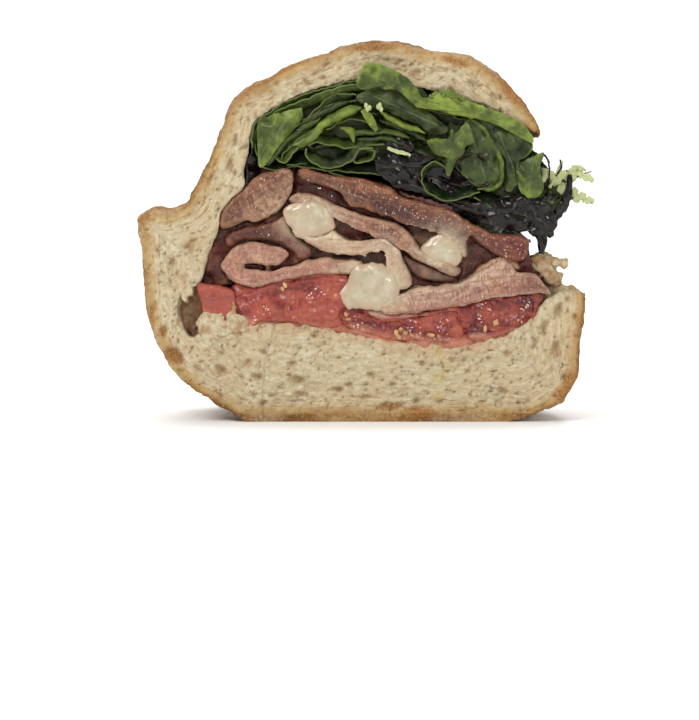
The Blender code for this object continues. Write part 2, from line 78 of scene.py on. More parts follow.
IMAGE_WIDTH, IMAGE_HEIGHT = 699, 720
BASE_PIXEL = (358, 422)  # where the picture has the middle of the base
PIXEL = 0.225 * MM  # width of a pixel at the cut face
SENSOR_WIDTH = 36.0  # of the camera, in millimetres

# The roll's crust at the cut, and the pocket between its lips
ROLL_OUTLINE = [
    (-21.6, 0.0), (-28.5, 2.2), (-35.0, 5.6), (-40.5, 9.8), (-44.3, 15.0), (-46.8, 21.5),
    (-48.0, 30.0), (-48.4, 38.5), (-50.0, 44.5), (-48.3, 48.0), (-44.0, 47.3), (-38.8, 48.6),
    (-36.6, 53.0), (-33.0, 59.5), (-30.2, 67.0), (-28.3, 72.3), (-21.5, 76.8), (-12.0, 81.0),
    (-4.0, 84.5), (6.0, 85.5), (17.0, 83.6), (26.5, 81.3), (33.0, 76.5), (37.5, 71.0),
    (40.0, 66.5), (45.5, 52.0), (50.5, 36.0), (50.8, 27.5), (50.0, 18.0), (48.8, 9.5),
    (46.0, 4.0), (40.0, 2.2), (32.0, 0.0),
]
POCKET_OUTLINE = [
    (-22.5, 67.5), (-13.0, 73.2), (-3.0, 76.0), (8.0, 76.6), (17.0, 73.9), (26.0, 71.6),
    (33.0, 68.6), (39.0, 65.0), (47.0, 62.0), (64.0, 58.0), (64.0, 31.5), (49.5, 29.9),
    (43.5, 28.8), (40.0, 25.5), (37.5, 21.5), (29.0, 18.2), (20.0, 16.8), (8.0, 18.0),
    (-4.0, 20.3), (-14.0, 22.0), (-24.0, 21.8), (-33.0, 22.8), (-37.0, 18.2), (-40.0, 23.0),
    (-40.2, 28.4), (-36.0, 30.2), (-34.0, 34.5), (-33.2, 39.5), (-31.0, 43.0), (-31.0, 46.8),
    (-28.0, 49.8), (-25.2, 52.5), (-25.2, 57.0), (-23.8, 62.0),
]

# Larger holes in the crumb: x, z, half length, half width, turn in degrees, depth
CRUMB_HOLES = [
    (-41.2, 14.9, 2.3, 1.8, -40, 1.5), (-43.6, 20.9, 1.1, 0.9, 80, 0.9), (-30.8, 11.7, 1.8, 1.1, -30, 1.2),
    (-22.5, 10.1, 1.7, 0.8, -10, 1.1), (-13.5, 9.4, 2.3, 1.0, -5, 1.4), (-13.0, 6.3, 2.1, 0.7, 0, 0.9),
    (-4.5, 7.3, 1.8, 0.7, -5, 1.1), (1.8, 5.6, 1.7, 0.6, 5, 0.9), (-36.0, 11.9, 1.5, 0.8, -45, 0.9),
    (45.0, 25.2, 1.5, 1.1, 60, 1.1), (41.9, 21.6, 1.5, 0.8, 80, 1.0), (44.6, 16.2, 2.4, 1.4, 75, 1.0),
    (29.3, 14.4, 0.9, 0.6, 10, 0.9), (33.8, 15.3, 1.2, 0.7, 15, 0.9), (27.9, 4.5, 1.2, 0.5, 0, 0.8),
    (-37.4, 39.5, 0.8, 2.0, 0, 0.6), (-33.0, 55.0, 0.6, 2.2, -20, 0.8), (-28.8, 58.0, 0.6, 1.8, -15, 0.8),
    (-27.4, 63.5, 0.5, 1.6, 0, 0.8), (25.5, 76.0, 1.5, 0.8, -20, 0.9), (19.0, 79.4, 1.7, 0.5, -15, 0.7),
    (30.5, 73.2, 1.2, 0.7, -40, 0.8), (-9.0, 78.7, 1.9, 0.5, 25, 0.7), (6.5, 81.5, 2.0, 0.5, 3, 0.7),
]
# Browner places of the crust at the cut: x, z, half length, half width, turn in degrees
BROWN_PATCHES = [(7.0, 3.5, 3.4, 1.1, 5), (14.0, 2.2, 4.8, 1.6, -3), (-41.2, 14.9, 3.0, 2.2, -40),
                 (-36.5, 6.9, 4.5, 1.0, -38), (47.6, 9.0, 2.2, 3.4, 0), (45.8, 6.4, 2.2, 2.4, 0),
                 (-28.0, 74.4, 3.0, 1.5, 35), (-17.0, 79.3, 5.0, 1.0, 25), (4.0, 84.2, 7.0, 1.0, 4),
                 (-48.3, 46.5, 2.0, 2.4, 0), (34.5, 73.5, 4.0, 1.4, -50), (22.0, 81.0, 4.0, 1.0, -15),
                 (-46.4, 24.0, 0.9, 3.0, 5), (-44.0, 20.0, 1.0, 1.4, 0)]

# Torn pieces of crumb: section, depths of the ends, how brown and how much painted shade (at 1.0 the dark
# wall in the fissure), and voxel in millimetres
CRUMB_PIECES = {
    "crumb_flap": ([(38.9, 34.2), (38.8, 36.2), (40.2, 38.0), (41.8, 38.4), (43.2, 37.4), (43.8, 35.2),
                    (45.0, 33.0), (45.6, 31.0), (44.0, 30.6), (42.0, 31.6),
                    (40.4, 33.6)], 2.2, 12.0, 0.55, 0.4),
    "crumb_scrap": ([(43.4, 36.0), (44.2, 37.4), (45.4, 36.8), (46.9, 37.0), (47.4, 35.8), (46.6, 34.6),
                     (45.2, 35.2), (44.0, 34.6)],
                    1.6, 4.4, 0.35, 0.3),
    "crumb_lump_low": ([(-36.2, 21.4), (-35.6, 23.8), (-34.2, 24.9), (-32.2, 24.4), (-30.6, 24.7),
                        (-29.8, 22.8), (-28.6, 20.2), (-31.4, 18.6), (-34.6, 18.8)], -0.7, 2.4, 0.1, 0.3),
    "crumb_lump_end": ([(-29.6, 23.8), (-28.8, 25.4), (-28.5, 27.6), (-27.6, 26.8), (-27.2, 24.8),
                        (-25.8, 24.0), (-24.8, 21.4), (-26.6, 19.8), (-29.8, 20.2)], -1.0, 1.4, 0.25, 0.3),
    "crumb_wall": ([(-42.6, 31.0), (-38.6, 32.4), (-35.0, 31.4), (-34.4, 27.0), (-34.6, 22.8),
                    (-36.4, 18.6), (-38.4, 19.4), (-40.8, 23.2), (-42.2, 27.0)], 2.2, 16.0, 1.0, 0.35),
    "crumb_hanging": ([(-42.0, 31.8), (-41.6, 30.0), (-40.2, 29.2), (-39.4, 27.4), (-38.4, 27.0),
                       (-38.2, 28.2), (-37.2, 28.4), (-37.0, 30.6), (-37.8, 32.4),
                       (-40.0, 33.4)], -0.2, 4.0, 0.1, 0.3),
}

# Rounded front edges, as steps: how far in from the outline, and how far behind the front
RASHER_EDGE = ((0.9, 0.0), (0.4, 0.15), (0.1, 0.45), (0.0, 0.9))
SLICE_EDGE = ((0.3, 0.0), (0.1, 0.15), (0.0, 0.4))
CRUMB_EDGE = ((0.5, 0.0), (0.15, 0.2), (0.0, 0.6))
DOLLOP_EDGE = ((2.2, 0.0), (1.3, 0.12), (0.5, 0.35), (-0.2, 0.62), (-0.8, 0.9), (-0.9, 1.25), (0.0, 2.0))
# How a lip's face falls away: share of its lean, and depth
LIP_FALL = [(0.0, 0.0), (0.06, 0.2), (0.2, 0.45), (0.42, 0.85), (0.66, 1.4), (0.86, 2.2), (1.0, 3.4),
            (1.05, 5.0)]

# The run of each rasher's fibres across its section
BACON_LINES = {
    "bacon_bottom": [(3.0, 27.2), (9.0, 26.5), (15.0, 27.6), (21.5, 28.6), (27.5, 30.5), (32.5, 32.3),
                     (38.0, 32.2), (42.8, 31.6)],
    "bacon_left_fold": [(-17.5, 37.6), (-22.0, 38.6), (-26.0, 38.2), (-28.5, 35.8), (-26.8, 33.2),
                        (-23.0, 32.6), (-18.5, 33.4), (-13.5, 34.5), (-7.0, 35.1), (-0.5, 34.9)],
    "bacon_third": [(-12.2, 41.4), (-10.0, 40.5), (-7.3, 39.5), (-2.0, 39.0), (1.6, 39.4), (4.8, 40.1),
                    (7.0, 39.1), (7.9, 36.4), (9.0, 33.8), (10.4, 31.9)],
    "bacon_second": [(-14.0, 50.6), (-10.3, 49.5), (-6.3, 48.0), (-1.8, 46.1), (2.7, 44.6), (6.7, 44.3),
                     (9.8, 42.5), (11.8, 39.8), (14.3, 37.9), (17.6, 36.3), (21.8, 34.9)],
    "bacon_dark": [(11.8, 35.5), (13.4, 34.1), (16.4, 33.2), (20.3, 32.6)],
    "bacon_top": [(-12.4, 56.2), (-8.1, 54.6), (-3.6, 52.5), (0.9, 51.0), (6.3, 50.1), (11.0, 48.0),
                  (15.0, 46.3), (19.6, 45.5), (23.0, 43.6), (27.5, 41.1), (31.3, 39.4), (34.7, 38.9),
                  (38.0, 38.7)],
    "bacon_upper_left": [(-15.6, 53.4), (-19.0, 51.8), (-22.5, 49.6), (-25.6, 47.2), (-27.8, 45.3)],
    "bacon_left_red": [(-28.4, 41.9), (-24.8, 42.4), (-19.8, 42.8), (-16.0, 41.2), (-13.7, 39.0)],
}


def tone(red, green, blue):
    """A display colour from 0 to 255, as linear light with alpha."""
    shares = (red / 255, green / 255, blue / 255)
    return (*(c / 12.92 if c <= 10 / 255 else ((c + 0.055) / 1.055) ** 2.4 for c in shares), 1.0)


# Meat tones deepened well below a rasher's own: painted shade in the gaps between the rashers
TRIMMING_SHADE_TONES = ((104, 44, 30), (70, 22, 18), (32, 9, 9), (76, 26, 20))
TRIMMING_DEPTH = 3.2  # how far the trimmings lie behind the cut, in millimetres
PULP_DEPTH = 0.2  # how far the pulp lies behind it
BED_VOXEL = 0.6  # width of the faces of both, in millimetres

# Sections of what is packed between the rashers, and of the tomato layer with its pulp
MEAT_BED = [(-28.4, 50.2), (-25.6, 53.4), (-25.6, 56.0), (-20.0, 58.0), (-15.0, 57.4), (-9.0, 55.6),
            (-2.0, 54.0), (6.0, 52.0), (13.0, 49.4), (21.0, 47.2), (28.0, 43.0), (33.0, 41.4), (37.6, 40.6),
            (39.0, 37.0), (42.0, 33.0), (36.0, 30.2), (28.0, 28.4), (20.0, 26.4), (10.0, 25.4), (3.0, 26.0),
            (-1.0, 31.0), (-8.0, 33.0), (-16.0, 32.2), (-23.0, 31.0), (-29.0, 31.0), (-35.0, 30.8),
            (-34.4, 35.0), (-33.8, 40.0), (-31.6, 43.4), (-31.6, 47.0)]
PULP_BED = [(-28.4, 30.4), (-20.0, 31.6), (-12.0, 33.4), (-4.0, 33.6), (-1.0, 31.0), (2.0, 27.0),
            (10.0, 25.2), (20.0, 26.0), (28.0, 28.4), (36.0, 29.6), (41.6, 29.8), (40.4, 25.2),
            (37.6, 21.0), (29.0, 17.6), (20.0, 16.2), (8.0, 17.4), (-4.0, 19.7), (-14.0, 21.4),
            (-24.0, 21.2), (-29.0, 21.8)]

# Each rasher: its section at the cut, the depths of its ends, how far its right end draws back, and its
# colours: the rim, the middle, the lower side, and the right end
RASHERS = {
    "bacon_top": (
        [(-13.4, 56.3), (-11.9, 56.9), (-8.2, 56.1), (-4.1, 55.2), (0.8, 54.6), (4.2, 53.5), (7.4, 52.5),
         (9.6, 50.6), (13.6, 49.7), (17.3, 48.6), (21.4, 47.4), (24.4, 45.4), (27.4, 43.7), (30.4, 42.2),
         (34.9, 42.1), (37.9, 41.4), (38.4, 39.4), (37.6, 36.6), (35.7, 36.2), (33.4, 36.8), (31.2, 37.9),
         (28.6, 39.4), (26.6, 41.2), (24.9, 42.0), (24.4, 40.0), (24.3, 37.4), (23.3, 37.2), (22.6, 38.9),
         (21.4, 40.4), (19.9, 41.9), (16.9, 43.1), (12.8, 44.2), (9.8, 45.1), (7.2, 46.1), (4.2, 47.0),
         (0.4, 48.4), (-1.8, 48.7), (-3.0, 50.3), (-3.9, 51.8), (-7.1, 53.2), (-10.4, 54.1), (-12.9, 55.0)],
        -0.8, 52.0, 3.0, ((140, 84, 54), (78, 40, 32), (46, 18, 16), (100, 28, 32))),
    "bacon_second": (
        [(-15.7, 50.2), (-14.2, 51.3), (-12.7, 51.5), (-10.4, 51.0), (-6.7, 49.4), (-3.7, 48.2),
         (-1.4, 47.1), (1.9, 46.1), (5.3, 45.3), (7.6, 44.8), (9.8, 43.6), (12.1, 41.4), (13.6, 39.2),
         (16.2, 37.0), (19.2, 35.8), (22.2, 34.8), (22.8, 33.3), (20.7, 33.0), (16.9, 34.7), (13.2, 36.5),
         (10.9, 37.9), (9.7, 39.3), (8.2, 40.9), (6.1, 42.2), (3.0, 42.3), (0.8, 42.8), (-1.1, 43.9),
         (-2.9, 45.2), (-5.2, 46.1), (-6.6, 46.7), (-7.5, 48.2), (-10.4, 49.1), (-14.2, 49.2)],
        -0.5, 51.0, 0.0, ((188, 148, 116), (146, 98, 80), (108, 58, 48), (110, 58, 46))),
    "bacon_third": (
        [(-14.8, 43.7), (-12.7, 42.0), (-9.7, 41.4), (-7.1, 42.3), (-5.6, 43.3), (-3.7, 41.8), (-1.8, 40.8),
         (0.8, 40.5), (3.0, 40.9), (5.3, 41.5), (6.6, 41.3), (7.9, 40.0), (9.2, 38.6), (9.6, 36.8),
         (10.9, 34.6), (11.9, 32.6), (12.0, 30.9), (10.4, 30.1), (9.0, 30.2), (8.5, 31.8), (7.8, 33.4),
         (6.6, 35.0), (6.5, 36.8), (6.0, 38.2), (4.6, 38.9), (2.7, 38.6), (0.8, 37.7), (-2.9, 37.8),
         (-6.7, 38.4), (-10.1, 39.8), (-12.7, 41.4), (-14.6, 43.0)],
        -0.9, 49.0, 0.0, ((196, 170, 140), (182, 148, 122), (216, 198, 168), (162, 122, 100))),
    "bacon_left_fold": (
        [(-30.6, 34.9), (-30.4, 36.4), (-29.2, 37.8), (-26.6, 39.9), (-23.6, 40.4), (-20.6, 39.9),
         (-17.4, 39.0), (-15.6, 37.9), (-16.8, 36.4), (-18.3, 35.4), (-20.8, 35.0), (-21.7, 35.7),
         (-24.3, 36.0), (-26.2, 35.1), (-24.3, 34.2), (-20.9, 34.1), (-18.7, 34.1), (-15.7, 34.9),
         (-13.4, 35.6), (-10.4, 36.5), (-8.2, 36.9), (-5.6, 36.6), (-2.9, 36.4), (0.2, 36.2), (0.8, 34.9),
         (0.1, 33.6), (-2.9, 33.3), (-5.9, 33.3), (-8.9, 33.3), (-12.7, 32.7), (-15.7, 32.1), (-19.8, 31.4),
         (-22.1, 30.6), (-24.3, 30.3), (-26.9, 31.2), (-29.2, 32.8)],
        -0.3, 50.0, 0.0, ((184, 140, 114), (152, 92, 78), (176, 132, 110), (184, 158, 132))),
    "bacon_bottom": (
        [(4.8, 26.4), (8.7, 28.7), (10.6, 29.3), (12.8, 30.1), (16.9, 30.3), (21.4, 30.6), (24.4, 31.9),
         (28.2, 34.2), (30.4, 35.4), (32.8, 36.4), (34.8, 35.4), (36.1, 33.6), (39.4, 33.4), (41.7, 31.6),
         (43.4, 29.4), (43.2, 28.7), (39.4, 28.9), (34.2, 28.3), (28.9, 27.8), (26.7, 26.8), (21.4, 25.9),
         (16.6, 25.2), (11.7, 24.5), (6.4, 24.3), (4.6, 25.2)],
        -0.6, 52.0, 6.5, ((196, 166, 140), (176, 138, 116), (160, 106, 92), (112, 64, 48))),
    "bacon_dark": (
        [(9.9, 37.4), (11.2, 37.0), (13.2, 35.8), (16.9, 34.1), (20.8, 32.7), (20.9, 31.6), (16.9, 31.3),
         (13.4, 32.2), (11.9, 33.5), (10.6, 35.4)],
        1.4, 46.0, 0.0, ((96, 42, 36), (72, 27, 24), (52, 17, 16), (84, 30, 27))),
    "bacon_upper_left": (
        [(-30.9, 45.9), (-29.3, 49.2), (-26.3, 52.0), (-23.4, 54.5), (-20.6, 56.2), (-17.2, 56.9),
         (-14.9, 56.6), (-14.5, 54.6), (-14.8, 52.2), (-16.2, 50.0), (-17.2, 48.6), (-18.6, 47.2),
         (-20.6, 46.2), (-22.4, 45.3), (-25.1, 45.4), (-27.7, 44.5), (-30.6, 44.0)],
        -0.2, 48.0, 0.0, ((164, 128, 96), (142, 104, 78), (112, 60, 36), (100, 56, 36))),
    "bacon_left_red": (
        [(-29.9, 41.0), (-29.0, 42.4), (-26.9, 43.4), (-24.3, 44.2), (-22.1, 44.3), (-19.8, 45.0),
         (-17.9, 46.0), (-16.2, 46.6), (-15.7, 44.6), (-14.8, 42.9), (-13.0, 40.9), (-10.6, 39.2),
         (-10.8, 37.4), (-13.4, 36.5), (-15.0, 38.6), (-17.9, 40.2), (-20.6, 41.0), (-23.9, 41.2),
         (-26.6, 40.8), (-29.2, 39.6)],
        1.2, 46.0, 0.0, ((120, 62, 40), (76, 28, 24), (52, 17, 16), (96, 44, 40))),
}
# Narrower bands of the rashers: which node's rasher they belong to, then as above
BANDS = {
    "rasher_lining": ("bacon_top", [(9.2, 52.2), (11.7, 51.1), (16.2, 49.8), (21.4, 48.2), (21.0, 47.9),
                                    (16.2, 49.2), (11.7, 50.4), (9.4, 51.2)],
        0.0, 30.0, 0.0, ((84, 36, 32), (64, 25, 23), (50, 18, 17), (64, 25, 23))),
    "rasher_crest": ("bacon_bottom", [(26.6, 34.0), (28.2, 35.2), (30.4, 36.4), (33.1, 37.4), (35.3, 36.0),
                                      (36.2, 34.2), (35.0, 34.6), (33.6, 35.9), (30.6, 35.1), (28.0, 33.7)],
        0.4, 24.0, 0.0, ((186, 146, 110), (152, 108, 80), (120, 76, 58), (112, 70, 54))),
    "rasher_pink": ("bacon_bottom", [(1.8, 25.0), (4.2, 25.2), (6.4, 24.0), (11.7, 24.2), (14.8, 24.5),
                                     (16.2, 24.9), (15.4, 23.7), (11.7, 23.5), (6.4, 22.9), (3.2, 23.6)],
        0.2, 30.0, 0.0, ((180, 120, 104), (168, 100, 88), (150, 82, 72), (176, 120, 104))),
}

# Each slice of tomato: its section, the depths of its ends, and its flesh and its deepest red
SLICES = {
    "tomato_end": (
        [(-36.0, 31.0), (-34.0, 30.9), (-32.0, 30.7), (-30.0, 30.2), (-28.2, 29.4), (-27.8, 27.6),
         (-28.1, 25.4), (-29.4, 23.7), (-31.0, 23.6), (-34.5, 24.3), (-35.0, 26.6), (-35.7, 29.2)],
        -0.6, 46.0, (148, 66, 52), (132, 54, 44)),
    "tomato_left": (
        [(-27.4, 27.6), (-26.2, 28.6), (-24.0, 29.0), (-22.0, 30.0), (-19.8, 30.6), (-15.7, 31.2),
         (-12.6, 31.9), (-9.0, 32.4), (-5.3, 32.4), (-2.2, 32.0), (-1.4, 29.0), (-0.7, 26.8), (-3.6, 25.6),
         (-4.4, 23.4), (-3.8, 22.0), (-6.3, 21.4), (-11.1, 22.0), (-15.0, 22.6), (-19.5, 22.9),
         (-22.7, 22.6), (-24.0, 21.2), (-25.9, 22.0), (-27.0, 23.1), (-26.6, 25.0)],
        -0.2, 50.0, (150, 62, 50), (112, 32, 30)),
    "tomato_middle": (
        [(-0.2, 26.2), (1.6, 24.4), (4.0, 23.0), (6.2, 22.5), (10.1, 22.9), (13.9, 23.3), (17.2, 24.1),
         (19.7, 24.7), (22.6, 24.7), (22.5, 22.6), (24.0, 20.2), (23.0, 18.6), (21.0, 18.2), (18.4, 18.0),
         (13.3, 18.3), (6.9, 18.5), (4.3, 19.4), (0.4, 20.4), (-3.0, 21.6), (-3.6, 23.2), (-2.8, 25.2)],
        0.2, 52.0, (122, 38, 34), (88, 18, 18)),
    "tomato_right": (
        [(23.1, 24.6), (24.2, 25.2), (28.1, 27.0), (32.6, 27.6), (36.8, 28.1), (39.2, 28.2), (39.0, 24.6),
         (37.8, 22.4), (35.6, 20.9), (32.6, 19.9), (29.4, 18.7), (28.1, 17.8), (25.8, 18.6), (24.3, 19.6),
         (24.7, 20.4), (23.0, 22.7)],
        -0.4, 50.0, (108, 26, 26), (76, 12, 16)),
}

# The floor that the slices lie on, as (x, z)
TOMATO_FLOOR = [(-40, 22.6), (-24, 22.0), (-4, 20.6), (8, 18.6), (20, 17.4), (29, 18.4), (40, 21.5)]

SEEDS = [(8.6, 20.2), (9.6, 20.9), (10.6, 20.1), (12.2, 19.5), (9.2, 19.2), (16.4, 19.6), (18.2, 19.3),
         (-17.0, 30.0), (-16.4, 30.8), (-2.7, 24.2), (-2.2, 23.2), (28.6, 21.0), (31.0, 22.4)]

# Beads and seeds: smallest and largest size in millimetres, and two tones; the pale tones of the fat and
# juice beads are painted glints
BEADS = {
    # Beads of fat whose pale colour paints the meat's sparkle
    "rasher_fat_sparkle": ((0.06, 0.15), (164, 120, 94), (208, 180, 154)),
    # Beads of juice whose near-white colour paints the tomato's wet glints
    "tomato_juice_glint": ((0.07, 0.2), (186, 110, 92), (246, 214, 200)),
    "tomato_seeds": ((0.34, 0.5), (168, 112, 60), (196, 152, 96)),
}

# Each smear of mayonnaise: its outline at the cut, and the depths of its ends
SMEARS = {
    "mayonnaise_left": (
        [(-15.9, 47.6), (-14.2, 48.6), (-10.8, 48.7), (-7.8, 47.9), (-6.2, 46.0), (-6.6, 43.4),
         (-9.4, 41.9), (-12.7, 42.4), (-14.8, 44.1), (-15.9, 45.8)], -1.15, 6.0),
    "mayonnaise_right": (
        [(15.0, 38.8), (16.4, 40.6), (19.0, 41.6), (21.4, 40.6), (22.9, 38.3), (22.2, 36.4), (19.2, 35.7),
         (16.4, 36.7)], -1.05, 6.0),
    "mayonnaise_middle": (
        [(-0.6, 34.0), (1.6, 34.4), (3.8, 35.0), (6.4, 34.6), (8.2, 33.0), (8.8, 30.4), (8.0, 27.9),
         (5.3, 26.4), (0.4, 26.3), (-2.4, 27.0), (-3.4, 29.0), (-2.2, 31.2)], -1.3, 7.0),
}


class Finish:
    """A material's nodes, added a step at a time."""

    def __init__(self, name, roughness):
        self.material = bpy.data.materials.new(name)
        self.material.use_nodes = True
        self.tree = self.material.node_tree
        self.shader = self.tree.nodes["Principled BSDF"]
        self.shader.inputs["Roughness"].default_value = roughness
        self.place = self.tree.nodes.new("ShaderNodeTexCoord").outputs["Object"]

    def add(self, kind, **settings):
        node = self.tree.nodes.new(kind)
        for name, value in settings.items():
            setattr(node, name, value)
        return node

    def feed(self, socket, source):
        """Links a socket to another, or sets it to a number or colour; a colour of three is a display one."""
        if isinstance(source, bpy.types.NodeSocket):
            self.tree.links.new(source, socket)
        elif isinstance(source, tuple) and len(source) == 3:
            socket.default_value = tone(*source)
        else:
            socket.default_value = source

    def stored(self, name):
        """A number kept on the mesh's points."""
        return self.add("ShaderNodeAttribute", attribute_name=name).outputs["Fac"]

    def stored_vector(self, name):
        return self.add("ShaderNodeAttribute", attribute_name=name).outputs["Vector"]

    def texture(self, kind, source, size, stretch, shift):
        """A texture on the given coordinates, its features about the given size."""
        mapping = self.add("ShaderNodeMapping")
        self.feed(mapping.inputs["Vector"], source)
        mapping.inputs["Scale"].default_value = [1 / (size * s) for s in stretch]
        mapping.inputs["Location"].default_value = shift
        node = self.add(kind)
        self.feed(node.inputs["Vector"], mapping.outputs["Vector"])
        node.inputs["Scale"].default_value = 1.0
        return node

    def noise(self, size, detail=3.0, stretch=(1.0, 1.0, 1.0), seed=0.0, source=None, per=MM):
        """Cloudy noise whose features are about size millimetres across."""
        shift = (seed, seed * 0.7, seed * 0.3)
        node = self.texture("ShaderNodeTexNoise", source or self.place, size * per, stretch, shift)
        node.inputs["Detail"].default_value = detail
        return node.outputs["Fac"]

    def cells(self, size, seed=0.0):
        """Distance to the nearest of scattered points, about size millimetres apart."""
        shift = (seed, seed, seed)
        node = self.texture("ShaderNodeTexVoronoi", self.place, size * MM, (1.0, 1.0, 1.0), shift)
        return node.outputs["Distance"]

    def ramp(self, source, stops, smooth=False):
        """Maps a number to display colours or greys, given as (place, colour or grey)."""
        node = self.add("ShaderNodeValToRGB")
        node.color_ramp.interpolation = "EASE" if smooth else "LINEAR"
        points = node.color_ramp.elements
        for extra in range(len(stops) - 2):
            points.new(0.5)
        for point, (place, colour) in zip(points, stops):
            point.position = place
            point.color = tone(*colour) if isinstance(colour, tuple) else (colour, colour, colour, 1.0)
        self.feed(node.inputs["Fac"], source)
        return node.outputs["Color"]

    def mix(self, share, first, second, way="MIX"):
        node = self.add("ShaderNodeMix", data_type="RGBA", blend_type=way)
        self.feed(node.inputs[0], share)
        self.feed(node.inputs[6], first)
        self.feed(node.inputs[7], second)
        return node.outputs[2]

    def over(self, colour, source, stops, paint):
        """Lays a paint over the colour by the ramp of a number."""
        return self.mix(self.ramp(source, stops), colour, paint)

    def tinted(self, colour, tint):
        """The colour multiplied by one that the user sets."""
        return self.mix(1.0, colour, (*tint, 1.0), "MULTIPLY")

    def swing(self, source, reach):
        """How far a number that lies about 0.5 departs from it, times the reach."""
        return self.times(self.math("SUBTRACT", source, 0.5), reach)

    def plus(self, first, second):
        return self.math("ADD", first, second)

    def times(self, first, second):
        return self.math("MULTIPLY", first, second)

    def math(self, operation, first, second=0.0, third=0.0):
        """One arithmetic step on numbers."""
        node = self.add("ShaderNodeMath", operation=operation)
        for socket, source in zip(node.inputs, (first, second, third)):
            self.feed(socket, source)
        return node.outputs[0]

    def bump(self, height, distance, strength=1.0, under=None):
        node = self.add("ShaderNodeBump")
        node.inputs["Strength"].default_value = strength
        node.inputs["Distance"].default_value = distance * MM
        self.feed(node.inputs["Height"], height)
        if under:
            self.feed(node.inputs["Normal"], under)
        return node.outputs["Normal"]

    def done(self, colour, normal=None, roughness=None, **uniform):
        """Joins the finish to its shader; the named settings are the same all over."""
        self.feed(self.shader.inputs["Base Color"], colour)
        if normal:
            self.feed(self.shader.inputs["Normal"], normal)
        if roughness is not None:
            self.feed(self.shader.inputs["Roughness"], roughness)
        for name, value in uniform.items():
            self.shader.inputs[name.replace("_", " ").title().replace("Ior", "IOR")].default_value = value
        return self.material


def unit(values):
    """The values held between 0 and 1."""
    return np.clip(values, 0.0, 1.0)


def soft_noise(points, size, seed=0, octaves=1):
    """Smooth noise between about -1 and 1 at each point, with features of the given size."""
    total = np.zeros(len(points))
    weight, share = 1.0, 0.0
    for octave in range(octaves):
        spot = points / size * 2**octave + seed * 13.7 + octave * 5.3
        cell = np.floor(spot).astype(np.int64)
        ease = (spot - cell) ** 2 * (3 - 2 * (spot - cell))
        layer = np.zeros(len(points))
        for corner in range(8):
            step = np.array([corner & 1, corner >> 1 & 1, corner >> 2 & 1])
            at = cell + step
            mixed = at[:, 0] * 73856093 ^ at[:, 1] * 19349663 ^ at[:, 2] * 83492791
            mixed = (mixed ^ (mixed >> 13)) * 1274126177 & 0x7FFFFFFF
            value = (mixed >> 7 & 0xFFFF) / 32767.5 - 1
            layer += value * np.prod(np.where(step, ease, 1 - ease), axis=1)
        total += layer * weight
        share += weight
        weight *= 0.5
    return total / share


def smooth_run(points, closed):
    """A Catmull-Rom curve through the points, twelve short steps to each span."""
    given = np.array(points, float)
    count = len(given)
    steps = np.linspace(0.0, 1.0, 12, endpoint=False)[:, None]
    runs = []
    for i in range(count if closed else count - 1):
        around = [(i + k) % count if closed else min(max(i + k, 0), count - 1) for k in (-1, 0, 1, 2)]
        before, start, end, after = given[around]
        runs.append(0.5 * (2 * start + (end - before) * steps
                           + (2 * before - 5 * start + 4 * end - after) * steps**2
                           + (3 * start - before - 3 * end + after) * steps**3))
    if not closed:
        runs.append(given[-1:])
    return np.vstack(runs)


def evenly(points, count, closed=False):
    """The curve through the points, read at evenly spaced places."""
    run = smooth_run(points, closed)
    if closed:
        run = np.vstack([run, run[:1]])
    along = np.concatenate([[0.0], np.cumsum(np.linalg.norm(np.diff(run, axis=0), axis=1))])
    places = np.linspace(0.0, along[-1], count, endpoint=not closed)
    return np.stack([np.interp(places, along, run[:, k]) for k in range(run.shape[1])], axis=1)


def pocket_shift(x, depth, z):
    """How the pocket's layers narrow, sink and wave at a depth: width, height share, across, up."""
    share = unit(depth / HALF_DEPTH)
    wave = WAVE_HEIGHT * unit(depth / WAVE_SETS_IN[0])
    wave = wave * unit((z - FLOOR_HEIGHT) / WAVE_SETS_IN[1])
    width = (1 - np.clip(depth / POCKET_REACH, 0.0, 0.99) ** END_ROUND) ** (1 / END_ROUND)
    across = wave * np.sin(depth * SWAY_TURN[0] + z * SWAY_TURN[1])
    up = wave * np.sin(depth * RISE_TURN[0] + x * RISE_TURN[1])
    return width, 1 - (1 - END_GAP) * share**3, across, up


def in_pocket(points):
    """Carries points of the cut's section (x, depth, z) back into the roll."""
    x, depth, z = np.asarray(points, float).T
    width, height, across, up = pocket_shift(x, depth, z)
    return np.stack([x * width + across, depth, FLOOR_HEIGHT + (z - FLOOR_HEIGHT) * height + up], axis=1)


def at_cut(points):
    """Carries points inside the roll forward to the cut's section: the reverse of in_pocket."""
    x, depth, z = points.T
    flat_x, flat_z = x.copy(), z.copy()
    for _ in range(4):
        width, height, across, up = pocket_shift(flat_x, depth, flat_z)
        flat_x = (x - across) / width
        flat_z = FLOOR_HEIGHT + (z - FLOOR_HEIGHT - up) / height
    return np.stack([flat_x, flat_z], axis=1)


def places(mesh):
    """The mesh's points in section millimetres: x, depth, z."""
    flat = np.empty(len(mesh.vertices) * 3, np.float32)
    mesh.vertices.foreach_get("co", flat)
    return flat.reshape(-1, 3).astype(float) / MM + (0.0, HALF_DEPTH / 2, 0.0)


def in_frame(points):
    """Section millimetres to metres in the shared frame, with the depth centred."""
    return (np.asarray(points) - (0.0, HALF_DEPTH / 2, 0.0)) * MM


def move_to(mesh, points):
    """Sets the mesh's points to places in section millimetres."""
    mesh.vertices.foreach_set("co", in_frame(points).astype(np.float32).ravel())
    mesh.update()


def outward(mesh):
    """The way that each point of the mesh faces."""
    flat = np.empty(len(mesh.vertices) * 3, np.float32)
    mesh.vertices.foreach_get("normal", flat)
    return flat.reshape(-1, 3).astype(float)


